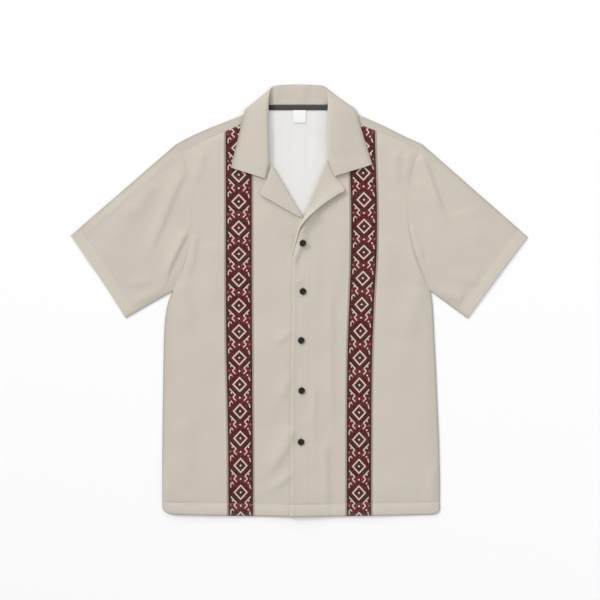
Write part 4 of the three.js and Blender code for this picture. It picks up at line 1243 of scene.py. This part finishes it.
def inside_cloth(name, colours):
    """The paler inside, with the small raised squares of its weave."""
    material, tree = new_material(name)
    thread = tree.attribute("thread")
    x, y, _ = tree.split(thread)
    fine, uneven = weave(tree, thread, YARN)
    squares = tree.wave(x, INSIDE_SQUARE) * tree.wave(y, INSIDE_SQUARE)
    rows = tree.wave(y, 2 * INSIDE_SQUARE) * 0.5
    height = fine * 0.3 + squares * 0.35 + rows * 0.3
    inside = tuple(colours.inside)
    inputs = {
        "Base Color": tree.mix(height * 0.5 + 0.35 + uneven * 0.4, shade_of(inside, 0.94), shade_of(inside)),
        "Roughness": 0.9,
        "Specular IOR Level": 0.2,
        "Sheen Weight": 0.1,
        "Normal": tree.bump(height, 0.00012, 0.6),
    }
    surface(tree, inputs)
    return material


def twill(name, colour):
    """Slanting ribs across a narrow tape, with painted shadow at its left end."""
    material, tree = new_material(name)
    x, y, _ = tree.split(tree.attribute("thread"))
    ribs = tree.wave(x + y, TAPE_RIB)
    yarns = tree.wave(x - y, TAPE_YARN)
    fibres = tree.noise(tree.vector(x, y, 0.0), 1.4, 3.0)
    height = ribs * 0.4 + yarns * 0.15 + fibres * 0.4
    shade = tree.mix(height * 0.5 + 0.35, shade_of(colour, 0.75), shade_of(colour, 1.3))
    # Painted shadow: the tape darkens towards its left end, under the collar's leaf
    shadowed_end = (TAPE["left"] + 14 - x) / 7
    inputs = {
        "Base Color": tree.mix(shadowed_end, shade, shade_of(colour, 0.25)),
        "Roughness": 0.85,
        "Sheen Weight": 0.2,
        "Normal": tree.bump(height, 0.0001, 0.7),
    }
    surface(tree, inputs)
    return material


def satin(name, colour):
    """Close fine ribs of a bare woven label."""
    material, tree = new_material(name)
    x, y, _ = tree.split(tree.attribute("thread"))
    ribs = tree.wave(y, LABEL_RIB) * 0.5 + 0.5
    floats = tree.noise(tree.vector(x * 0.5, y * 4.0, 0.0), 1.0)
    height = ribs * 0.5 + floats * 0.5
    inputs = {
        "Base Color": tree.mix(height, shade_of(colour, 0.93), shade_of(colour)),
        "Roughness": floats * 0.2 + 0.4,
        "Sheen Weight": 0.15,
        "Normal": tree.bump(height, 0.00005, 0.6),
    }
    surface(tree, inputs)
    return material


def resin(name, colour):
    """Polished dark resin with faint cloudy streaks and small scratches."""
    material, tree = new_material(name)
    streaks = tree.noise(tree.place(), 260.0, 4.0)
    scratches = tree.noise(tree.place(), 2600.0, 2.0, 0.7)
    inputs = {
        "Base Color": tree.mix(streaks, shade_of(colour, 0.7), shade_of(colour, 1.5)),
        "Roughness": scratches * 0.14 + 0.28,
        "Specular IOR Level": 0.3,
        "Normal": tree.bump(scratches, 0.00003, 0.3),
    }
    surface(tree, inputs)
    return material


def thread_material(name, colour):
    """Twisted sewing thread."""
    material, tree = new_material(name)
    twist = tree.noise(tree.place(), 3200.0, 1.0)
    inputs = {
        "Base Color": tree.mix(twist, shade_of(colour, 0.86), shade_of(colour, 1.06)),
        "Roughness": 0.65,
        "Sheen Weight": 0.2,
        "Normal": tree.bump(twist, 0.00005, 0.5),
    }
    surface(tree, inputs)
    return material


def pale_floor(name, look):
    """A matt floor that glows a little, so that it stays pale."""
    material, tree = new_material(name)
    grain = tree.noise(tree.place(), 120.0, 3.0)
    inputs = {
        "Base Color": tree.mix(grain, shade_of(look.floor, 0.99), shade_of(look.floor)),
        "Roughness": 0.9,
        "Emission Color": (1, 1, 1, 1),
        "Emission Strength": look.floor_glow,
    }
    surface(tree, inputs)
    return material


def material_for(name):
    """The shirt's materials, each made once."""
    if name in bpy.data.materials:
        return bpy.data.materials[name]
    colours = bpy.context.scene.shirt_colours
    makers = {
        "printed_shirting": lambda: shirting(name, colours, printed=True),
        "plain_shirting": lambda: shirting(name, colours),
        "shirting_inside": lambda: inside_cloth(name, colours),
        "tape_twill": lambda: twill(name, colours.tape),
        "label_satin": lambda: satin(name, colours.label),
        "button_resin": lambda: resin(name, colours.button),
        "button_thread": lambda: thread_material(name, colours.button),
        "sewing_thread": lambda: thread_material(name, colours.thread),
    }
    return makers[name]()


# Stitches


def stitch_tree():
    """Stitches laid end to end along every line of the mesh."""
    name = "sewn_stitches"
    if name in bpy.data.node_groups:
        return bpy.data.node_groups[name]
    group = bpy.data.node_groups.new(name, "GeometryNodeTree")
    group.interface.new_socket("Lines", in_out="INPUT", socket_type="NodeSocketGeometry")
    for label, default in (("Pitch", 0.003), ("Length", 0.0024), ("Width", 0.00045), ("Height", 0.0003)):
        socket = group.interface.new_socket(label, in_out="INPUT", socket_type="NodeSocketFloat")
        socket.default_value = default
    group.interface.new_socket("Thread", in_out="INPUT", socket_type="NodeSocketMaterial")
    group.interface.new_socket("Stitches", in_out="OUTPUT", socket_type="NodeSocketGeometry")
    tree = Tree(group)
    given = tree.node("NodeGroupInput").outputs
    lines = tree.value("GeometryNodeMeshToCurve", None, {0: given["Lines"]})
    spacing = {"Curve": lines, "Length": given["Pitch"]}
    places = tree.value("GeometryNodeResampleCurve", {"mode": "LENGTH"}, spacing)
    stitch = tree.value("GeometryNodeMeshUVSphere", None, {"Segments": 6, "Rings": 4, "Radius": 0.5})
    tangent = tree.value("GeometryNodeInputTangent")
    turned = tree.value("FunctionNodeAlignEulerToVector", {"axis": "X"}, {"Vector": tangent})
    size = tree.vector(*(Value(tree, given[label]) for label in ("Length", "Width", "Height")))
    each = {"Points": places, "Instance": stitch, "Rotation": turned, "Scale": size}
    laid = tree.value("GeometryNodeInstanceOnPoints", None, each)
    real = tree.value("GeometryNodeRealizeInstances", None, {0: laid})
    soft = tree.value("GeometryNodeSetShadeSmooth", None, {0: real})
    sewn = tree.value("GeometryNodeSetMaterial", None, {0: soft, "Material": given["Thread"]})
    tree.node("NodeGroupOutput", None, {0: sewn})
    return group


def sew(name, paths, material, sizes):
    """Plain mesh of stitches along paths of points in millimetres."""
    points, edges = [], []
    for path in paths:
        start = len(points)
        points.extend(np.asarray(path, float).tolist())
        edges.extend((start + i, start + i + 1) for i in range(len(path) - 1))
    lines = bpy.data.meshes.new(name + "_lines")
    lines.from_pydata((np.array(points) * MM).tolist(), edges, [])
    carrier = bpy.data.objects.new(name + "_lines", lines)
    bpy.context.scene.collection.objects.link(carrier)
    modifier = carrier.modifiers.new("stitches", "NODES")
    modifier.node_group = stitch_tree()
    named = {item.name: item.identifier for item in modifier.node_group.interface.items_tree}
    for label, value in zip(("Pitch", "Length", "Width", "Height"), sizes):
        modifier[named[label]] = value * MM
    modifier[named["Thread"]] = material
    bpy.context.view_layer.update()
    graph = bpy.context.evaluated_depsgraph_get()
    mesh = bpy.data.meshes.new_from_object(carrier.evaluated_get(graph))
    if not mesh.polygons:
        raise RuntimeError(f"{name} has no stitches")
    mesh.name = name
    obj = bpy.data.objects.new(name, mesh)
    bpy.context.scene.collection.objects.link(obj)
    carrier.modifiers.clear()
    bpy.data.objects.remove(carrier)
    return obj


def resampled(path, step=3.0):
    """The path at even spacing."""
    path = np.asarray(path, float)
    lengths = np.concatenate([[0], np.cumsum(np.linalg.norm(np.diff(path, axis=0), axis=1))])
    at = np.linspace(0, lengths[-1], max(int(lengths[-1] / step), 2))
    return np.column_stack([np.interp(at, lengths, path[:, k]) for k in range(path.shape[1])])


def inset(skin, distance):
    """The line on a skin that runs at a distance from its first column."""
    steps = np.linalg.norm(np.diff(skin, axis=1), axis=-1)
    lengths = np.concatenate([np.zeros((len(skin), 1)), np.cumsum(steps, axis=1)], axis=1)
    rows = [[np.interp(distance, at, row[:, k]) for k in range(3)] for at, row in zip(lengths, skin)]
    return np.array(rows)


def on_front(side, x, y, cloth, lift=STITCH_LIFT):
    """A path on top of a front, at the height of its stitches."""
    return np.column_stack([x, y, front_top(side, x, y, cloth) + lift])


def front_seam_paths(side, cloth):
    """Hem, front edge and shoulder seam of one front."""
    inner = FRONT_EDGE[side]
    y = HEM_SIDE_Y + HEM_DEPTH
    edge = SIDE_EDGE[side](y)
    x = np.linspace(edge - np.sign(edge) * 2, inner(y), 120)
    paths = [on_front(side, x, hem_line(x) + HEM_DEPTH + HEM_STITCHES, cloth)]
    if side == "left":
        y = np.linspace(*FRONT_ROWS["from_to"], 170)
        for away in FRONT_ROWS["from_edge"]:
            paths.append(on_front(side, inner(y) + away, y, cloth))
    x = np.linspace(SHOULDERS[side][0][2] * 0.985, SHOULDERS[side][-1][2], 90)
    paths.append(on_front(side, x, SEAM_LINE[side](x) - SHOULDER_ROW, cloth))
    return paths


def back_hem_paths(cloth):
    """The hem's stitches on the outside and the inside of the back."""
    y = HEM_SIDE_Y + HEM_DEPTH
    x = np.linspace(SIDE_EDGE["right"](y) + 2, SIDE_EDGE["left"](y) - 2, 240)
    hem_y = hem_line(x) + HEM_DEPTH + HEM_STITCHES
    return [np.column_stack([x, hem_y, 0 * x + height]) for height in (UNDER_LIFT, cloth + STITCH_LIFT)]


def cuff_paths(side, cloth):
    """Both rows of one sleeve's hem, on top and underneath."""
    s = np.linspace(0.02, 0.98, 130)
    x, y, left = sleeve_plan(side, s, np.ones(130))
    start = sleeve_plan(side, s, np.zeros(130))
    t = 1 - (HEM_DEPTH + HEM_STITCHES) / np.hypot(x - start[0], y - start[1])
    x, y, _, top = sleeve_top(side, s, t, cloth)
    return [np.column_stack([x, y, height]) for height in (top + STITCH_LIFT, 0 * x + UNDER_LIFT)]


def armhole_paths(side, cloth):
    """Stitches on the body beside the armhole seam."""
    y = np.linspace(UNDERARM_Y + 6, SHOULDERS[side][0][3] - 3, 120)
    edge = SIDE_EDGE[side](y)
    return [on_front(side, edge - np.sign(edge) * ARMHOLE_ROW, y, cloth)]


# Values that a user would change


def colour_property(name, description, default):
    return bpy.props.FloatVectorProperty(
        name=name, description=description, default=default, size=3, min=0, max=1, subtype="COLOR"
    )


def size_property(name, description, default):
    return bpy.props.FloatProperty(
        name=name, description=description, default=default, min=0, subtype="DISTANCE", unit="LENGTH"
    )


class ShirtSizes(bpy.types.PropertyGroup):
    """Sizes of the cloth and its sewing."""

    cloth: size_property("Cloth", "Thickness of one layer of the shirting", 0.0008)
    stitch: size_property("Stitch", "Length of one stitch", 0.0024)
    stitch_pitch: size_property("Stitch pitch", "From the start of one stitch to the next", 0.003)
    thread: size_property("Thread", "Thickness of the sewing thread", 0.00042)
    edge_stitch: size_property("Edge stitch", "From the collar's edge to its stitches", 0.005)


class ShirtColours(bpy.types.PropertyGroup):
    """Colours of the cloth, the print and the trim."""

    cloth: colour_property("Cloth", "Ground of the shirting", (0.565, 0.516, 0.446))
    inside: colour_property("Inside", "Paler inside of the shirting", (0.79, 0.78, 0.765))
    print_red: colour_property("Red", "Ground of the printed band", (0.155, 0.010, 0.015))
    print_dark: colour_property("Dark", "Dark lines of the band", (0.014, 0.018, 0.011))
    print_white: colour_property("White", "Pale lines of the band", (0.56, 0.575, 0.5))
    print_pink: colour_property("Pink", "Outer line of the band", (0.40, 0.22, 0.20))
    print_grey: colour_property("Grey", "Thin line inside the outer one", (0.24, 0.27, 0.22))
    tape: colour_property("Tape", "Neck tape", (0.045, 0.044, 0.044))
    label: colour_property("Label", "Bare neck label", (0.89, 0.89, 0.88))
    button: colour_property("Buttons", "Button resin", (0.005, 0.0055, 0.006))
    thread: colour_property("Thread", "Sewing thread", (0.55, 0.505, 0.435))


class StageLook(bpy.types.PropertyGroup):
    """Floor, light and camera."""

    floor: colour_property("Floor", "Colour of the floor", (0.92, 0.92, 0.92))
    floor_glow: bpy.props.FloatProperty(
        name="Floor glow", description="Keeps the floor pale", default=0.03, subtype="FACTOR"
    )
    sky: bpy.props.FloatProperty(
        name="Sky", description="Strength of the even light", default=0.7, subtype="FACTOR"
    )
    key: bpy.props.FloatProperty(
        name="Key", description="Power of the large lamp at the upper left", default=1560, subtype="POWER"
    )
    top: bpy.props.FloatProperty(
        name="Top", description="Power of the low lamp beyond the collar", default=9.5, subtype="POWER"
    )
    fill: bpy.props.FloatProperty(
        name="Fill", description="Power of the lamp at the right", default=8, subtype="POWER"
    )
    camera_height: size_property("Camera height", "Camera above the floor", 2.55)


# Operators, one for each piece or group of like pieces


class MakePiece:
    """What the operators share: they can be undone, and they know how thick the cloth is."""

    bl_options = {"REGISTER", "UNDO"}

    @property
    def cloth(self):
        return bpy.context.scene.shirt_sizes.cloth / MM


class SHIRT_OT_back(MakePiece, bpy.types.Operator):
    """Cut the back in one with the strips that come over the shoulders"""

    bl_idname = "shirt.make_back"
    bl_label = "Back"

    def execute(self, context):
        materials = [material_for("plain_shirting"), material_for("shirting_inside")]
        wall = back_wall(self.cloth)
        obj = cloth_object("shirt_back", wall, materials, back_edges(self.cloth))
        place_piece(obj, ["back"])
        return {"FINISHED"}


class SHIRT_OT_fronts(MakePiece, bpy.types.Operator):
    """Lay both printed fronts, the left one over the right"""

    bl_idname = "shirt.make_fronts"
    bl_label = "Fronts"

    def execute(self, context):
        materials = [material_for("printed_shirting"), material_for("shirting_inside")]
        for side in SIDES:
            top, bottom = front_skins(side, self.cloth)
            marks = front_marks(side, top[..., 0], top[..., 1])
            wall = Wall.of_skins(top, bottom, marks)
            body = top[top[:, 0, 1] < UNDERARM_Y]
            obj = cloth_object(f"shirt_front_{side}", wall, materials, [top[0], body[:, 0]])
            place_piece(obj, [f"front_{side}"])
        return {"FINISHED"}


class SHIRT_OT_sleeves(MakePiece, bpy.types.Operator):
    """Lay the two short sleeves, each a flattened tube"""

    bl_idname = "shirt.make_sleeves"
    bl_label = "Sleeves"

    def execute(self, context):
        materials = [material_for("plain_shirting"), material_for("shirting_inside")]
        for side in SIDES:
            wall, folds = sleeve_wall(side, self.cloth)
            obj = cloth_object(f"shirt_sleeve_{side}", wall, materials, folds)
            place_piece(obj, [f"sleeve_{side}"])
        return {"FINISHED"}


class SHIRT_OT_lapels(MakePiece, bpy.types.Operator):
    """Turn out the facings as lapels"""

    bl_idname = "shirt.make_lapels"
    bl_label = "Lapels"

    def execute(self, context):
        material = material_for("plain_shirting")
        for side in SIDES:
            top, bottom, thread = lapel_skins(side, self.cloth)
            wall = Wall.of_skins(top, bottom, {"thread": thread})
            obj = cloth_object(f"shirt_lapel_{side}", wall, [material, material])
            place_piece(obj, [f"lapel_{side}"])
        return {"FINISHED"}


class SHIRT_OT_collar(MakePiece, bpy.types.Operator):
    """Roll the collar round the neck"""

    bl_idname = "shirt.make_collar"
    bl_label = "Collar"

    def execute(self, context):
        material = material_for("plain_shirting")
        outer, inner, thread = collar_skins()
        wall = Wall.of_skins(outer, inner, {"thread": thread})
        obj = cloth_object("shirt_collar", wall, [material, material], [collar_outline(outer)])
        place_piece(obj, ["collar"])
        return {"FINISHED"}


# Name, place, columns, rows, thickness, bulge and material
NECK_TRIM = (
    ("neck_tape", TAPE, 60, 8, 0.8, 0.15, "tape_twill"),
    ("neck_label", LABEL, 24, 24, 0.5, 0.35, "label_satin"),
)


class SHIRT_OT_neck_trim(MakePiece, bpy.types.Operator):
    """Lay the neck tape and the bare label inside the back"""

    bl_idname = "shirt.make_neck_trim"
    bl_label = "Neck trim"

    def execute(self, context):
        for name, patch, columns, rows, thick, bulge, material in NECK_TRIM:
            top, bottom, marks = patch_skins(patch, columns, rows, thick, bulge)
            wall = Wall.of_skins(top, bottom, marks)
            obj = cloth_object(f"shirt_{name}", wall, [material_for(material)] * 2)
            place_piece(obj, [name])
        return {"FINISHED"}


# Pitch, length, width and height of the stitches
BUTTON_THREAD = (1.25, 1.5, 0.42, 0.36)
BUTTONHOLE_THREAD = (0.55, 0.5, 1.7, 0.35)
BUTTONHOLE = {"half_width": 1.1, "reach": 9.5, "half_length": 8.2, "lift": 0.08}


def button_mesh():
    """Points and faces of a four-hole button in millimetres, on its underside's middle."""
    sides = 48
    points, faces = [], []
    for radius, height in BUTTON_SECTION:
        for k in range(sides):
            turn = 2 * math.pi * k / sides
            points.append((radius * math.cos(turn), radius * math.sin(turn), height))
    for i in range(len(BUTTON_SECTION) - 1):
        for k in range(sides):
            a, b = i * sides + k, i * sides + (k + 1) % sides
            faces.append((a, b, b + sides, a + sides))
    return points, faces


def drilled(obj, centre):
    """Cuts four holes through a button."""
    cutter = bmesh.new()
    for k in range(4):
        turn = math.pi / 4 + k * math.pi / 2
        away = BUTTON_HOLE["from_middle"] * math.sqrt(2)
        place = Vector((centre[0] + away * math.cos(turn), centre[1] + away * math.sin(turn), centre[2] + 1))
        radius = BUTTON_HOLE["radius"] * MM
        ends = {"radius1": radius, "radius2": radius, "depth": 5 * MM}
        made = bmesh.ops.create_cone(cutter, cap_ends=True, segments=BUTTON_HOLE["sides"], **ends)
        bmesh.ops.translate(cutter, verts=made["verts"], vec=place * MM)
    mesh = bpy.data.meshes.new("holes")
    cutter.to_mesh(mesh)
    cutter.free()
    holes = bpy.data.objects.new("holes", mesh)
    bpy.context.scene.collection.objects.link(holes)
    modifier = obj.modifiers.new("holes", "BOOLEAN")
    modifier.operation = "DIFFERENCE"
    modifier.solver = "EXACT"
    modifier.object = holes
    graph = bpy.context.evaluated_depsgraph_get()
    cut = bpy.data.meshes.new_from_object(obj.evaluated_get(graph))
    obj.modifiers.clear()
    bpy.data.objects.remove(holes)
    obj.data = cut
    obj.data.shade_smooth()
    obj.data.set_sharp_from_angle(angle=math.radians(35))


def button_place(x, y, cloth):
    """Middle of a button's underside, clear of the cloth under its rim."""
    turn = np.linspace(0, 2 * math.pi, 13)
    xs = np.append(x + BUTTON_RADIUS * np.cos(turn), x)
    ys = np.append(y + BUTTON_RADIUS * np.sin(turn), y)
    return np.array([x, y, front_top("left", xs, ys, cloth).max() + BUTTON_GAP * 0.5])


class SHIRT_OT_buttons(MakePiece, bpy.types.Operator):
    """Make the five four-hole buttons and the thread that holds them"""

    bl_idname = "shirt.make_buttons"
    bl_label = "Buttons"

    def execute(self, context):
        points, faces = button_mesh()
        strands = []
        for i, (x, y) in enumerate(BUTTONS):
            place = button_place(x, y, self.cloth)
            name = f"shirt_button_{i + 1}"
            obj = mesh_object(name, np.array(points) + place, faces, [material_for("button_resin")])
            tidy = bmesh.new()
            tidy.from_mesh(obj.data)
            bmesh.ops.remove_doubles(tidy, verts=tidy.verts, dist=1e-7)
            bmesh.ops.recalc_face_normals(tidy, faces=tidy.faces)
            tidy.to_mesh(obj.data)
            tidy.free()
            drilled(obj, place)
            obj.data.name = name
            place_piece(obj, [f"button_{i + 1}"])
            reach = BUTTON_HOLE["from_middle"]
            for hole in (-reach, reach):
                for beside in (-0.22, 0.22):
                    row, height = y + hole + beside, place[2] + 1.72
                    strands.append([(x - reach, row, height), (x + reach, row, height)])
        rows = [resampled(path, BUTTON_THREAD[0]) for path in strands]
        threads = sew("shirt_button_threads", rows, material_for("button_thread"), BUTTON_THREAD)
        place_piece(threads, [])
        return {"FINISHED"}


class SHIRT_OT_stitching(MakePiece, bpy.types.Operator):
    """Sew the hems, seams, edges and buttonholes"""

    bl_idname = "shirt.sew"
    bl_label = "Stitching"

    def execute(self, context):
        cloth = self.cloth
        sizes = context.scene.shirt_sizes
        thread = sizes.thread / MM
        plain = (sizes.stitch_pitch / MM, sizes.stitch / MM, thread, thread * 0.7)
        collar_outer, collar_inner, _ = collar_skins()
        edge = sizes.edge_stitch / MM
        groups = {"body_stitches": back_hem_paths(cloth), "sleeve_stitches": [], "collar_stitches": []}
        for side in SIDES:
            groups["body_stitches"] += front_seam_paths(side, cloth) + armhole_paths(side, cloth)
            groups["sleeve_stitches"] += cuff_paths(side, cloth)
            top, _, _ = lapel_skins(side, cloth)
            groups["collar_stitches"].append(inset(top[3:-3, ::-1], edge) + (0, 0, STITCH_LIFT))
        top_skin = collar_outer if collar_outer[30, 5, 2] > collar_inner[30, 5, 2] else collar_inner
        groups["collar_stitches"].append(inset(top_skin[3:-3], edge) + (0, 0, STITCH_LIFT))
        for name, paths in groups.items():
            rows = [resampled(path) for path in paths]
            obj = sew(f"shirt_{name}", rows, material_for("sewing_thread"), plain)
            place_piece(obj, [])
        self.sew_trim(plain)
        self.sew_buttonholes(cloth)
        return {"FINISHED"}

    def sew_trim(self, plain):
        """Both edges of the neck tape and the lower edge of the label."""
        rows = []
        for y in (TAPE["low"] + 1, TAPE["high"] - 1):
            x = np.linspace(TAPE["left"] + 1, TAPE["right"] - 1, 50)
            rows.append(np.column_stack([x, 0 * x + y, neck_lift(x, y) + TAPE_ROW]))
        tape = sew("shirt_tape_stitches", rows, material_for("button_thread"), plain)
        place_piece(tape, [])
        x = np.linspace(LABEL["left"] + 1, LABEL["right"] - 1, 12)
        y = LABEL["low"] + 1.2
        rows = [np.column_stack([x, 0 * x + y, neck_lift(x, y) + LABEL_ROW])]
        label = sew("shirt_label_stitches", rows, material_for("sewing_thread"), plain)
        place_piece(label, [])

    def sew_buttonholes(self, cloth):
        """One upright buttonhole under each button."""
        rows = []
        turn = np.linspace(0, 2 * math.pi, 73)
        end = BUTTONHOLE["half_length"]
        for x, y in BUTTONS:
            xs = x + BUTTONHOLE["half_width"] * np.cos(turn)
            ys = y + np.clip(BUTTONHOLE["reach"] * np.sin(turn), -end, end)
            rows.append(on_front("left", xs, ys, cloth, BUTTONHOLE["lift"]))
        holes = sew("shirt_buttonholes", rows, material_for("sewing_thread"), BUTTONHOLE_THREAD)
        place_piece(holes, [])


FLOOR_HALF = 4000
FLOOR_SINKS = 0.4  # clear of the stitches under the back
SQUARE = ((-1, -1), (1, -1), (1, 1), (-1, 1))
CAMERA_OVER = (0.00108, 0.0018)  # metres, as are the places and sizes of the lamps
LAMPS = (
    ("key", (-12.7, 9.6, 9.6), 6.6),
    ("top", (-0.25, 2.05, 0.82), 0.8),
    ("fill", (2.2, -0.6, 1.9), 2.2),
)


class SHIRT_OT_stage(MakePiece, bpy.types.Operator):
    """Lay the floor and set the light and the camera"""

    bl_idname = "shirt.set_stage"
    bl_label = "Stage"

    def execute(self, context):
        look = context.scene.shirt_stage
        corners = [(x * FLOOR_HALF, y * FLOOR_HALF, -FLOOR_SINKS) for x, y in SQUARE]
        floor = mesh_object("floor", corners, [(0, 1, 2, 3)], [pale_floor("floor_pale", look)])
        world = bpy.data.worlds.new("even_light")
        world.use_nodes = True
        tree = Tree(world.node_tree)
        sky = tree.value("ShaderNodeBackground", None, {"Color": (1, 1, 1, 1), "Strength": look.sky})
        tree.node("ShaderNodeOutputWorld", None, {"Surface": sky})
        context.scene.world = world
        for name, place, size in LAMPS:
            self.lamp(name, place, size, getattr(look, name))
        camera = bpy.data.cameras.new("camera")
        camera.lens = 85
        camera.sensor_width = 36
        camera.clip_end = 20
        holder = bpy.data.objects.new("camera", camera)
        holder.location = (*CAMERA_OVER, look.camera_height)
        context.scene.collection.objects.link(holder)
        context.scene.camera = holder
        context.scene.view_settings.view_transform = "Standard"
        context.scene.view_settings.look = "None"
        return {"FINISHED"}

    def lamp(self, name, place, size, power):
        """A round lamp that faces the middle of the shirt."""
        lamp = bpy.data.lights.new(name, "AREA")
        lamp.shape = "DISK"
        lamp.size = size
        lamp.energy = power
        holder = bpy.data.objects.new(name, lamp)
        holder.location = place
        holder.rotation_mode = "QUATERNION"
        holder.rotation_quaternion = (-Vector(place)).to_track_quat("-Z", "Y")
        holder.visible_camera = False
        bpy.context.scene.collection.objects.link(holder)


OPERATORS = (
    SHIRT_OT_stage,
    SHIRT_OT_back,
    SHIRT_OT_fronts,
    SHIRT_OT_sleeves,
    SHIRT_OT_lapels,
    SHIRT_OT_collar,
    SHIRT_OT_neck_trim,
    SHIRT_OT_buttons,
    SHIRT_OT_stitching,
)


class SHIRT_PT_maker(bpy.types.Panel):
    """Lists what makes the shirt"""

    bl_idname = "SHIRT_PT_maker"
    bl_label = "Camp collar shirt"
    bl_space_type = "VIEW_3D"
    bl_region_type = "UI"
    bl_category = "Shirt"

    def draw(self, context):
        for group in (context.scene.shirt_sizes, context.scene.shirt_colours, context.scene.shirt_stage):
            box = self.layout.box()
            for name in group.__annotations__:
                box.prop(group, name)
        for operator in OPERATORS:
            self.layout.operator(operator.bl_idname)


GROUPS = {"shirt_sizes": ShirtSizes, "shirt_colours": ShirtColours, "shirt_stage": StageLook}


def register():
    for name, group in GROUPS.items():
        bpy.utils.register_class(group)
        setattr(bpy.types.Scene, name, bpy.props.PointerProperty(type=group))
    for operator in OPERATORS:
        bpy.utils.register_class(operator)
    bpy.utils.register_class(SHIRT_PT_maker)


def unregister():
    bpy.utils.unregister_class(SHIRT_PT_maker)
    for operator in reversed(OPERATORS):
        bpy.utils.unregister_class(operator)
    for name, group in GROUPS.items():
        delattr(bpy.types.Scene, name)
        bpy.utils.unregister_class(group)


def main():
    register()
    bpy.ops.shirt.set_stage()
    bpy.ops.shirt.make_back()
    bpy.ops.shirt.make_fronts()
    bpy.ops.shirt.make_sleeves()
    bpy.ops.shirt.make_lapels()
    bpy.ops.shirt.make_collar()
    bpy.ops.shirt.make_neck_trim()
    bpy.ops.shirt.make_buttons()
    bpy.ops.shirt.sew()


if __name__ == "__main__":
    main()
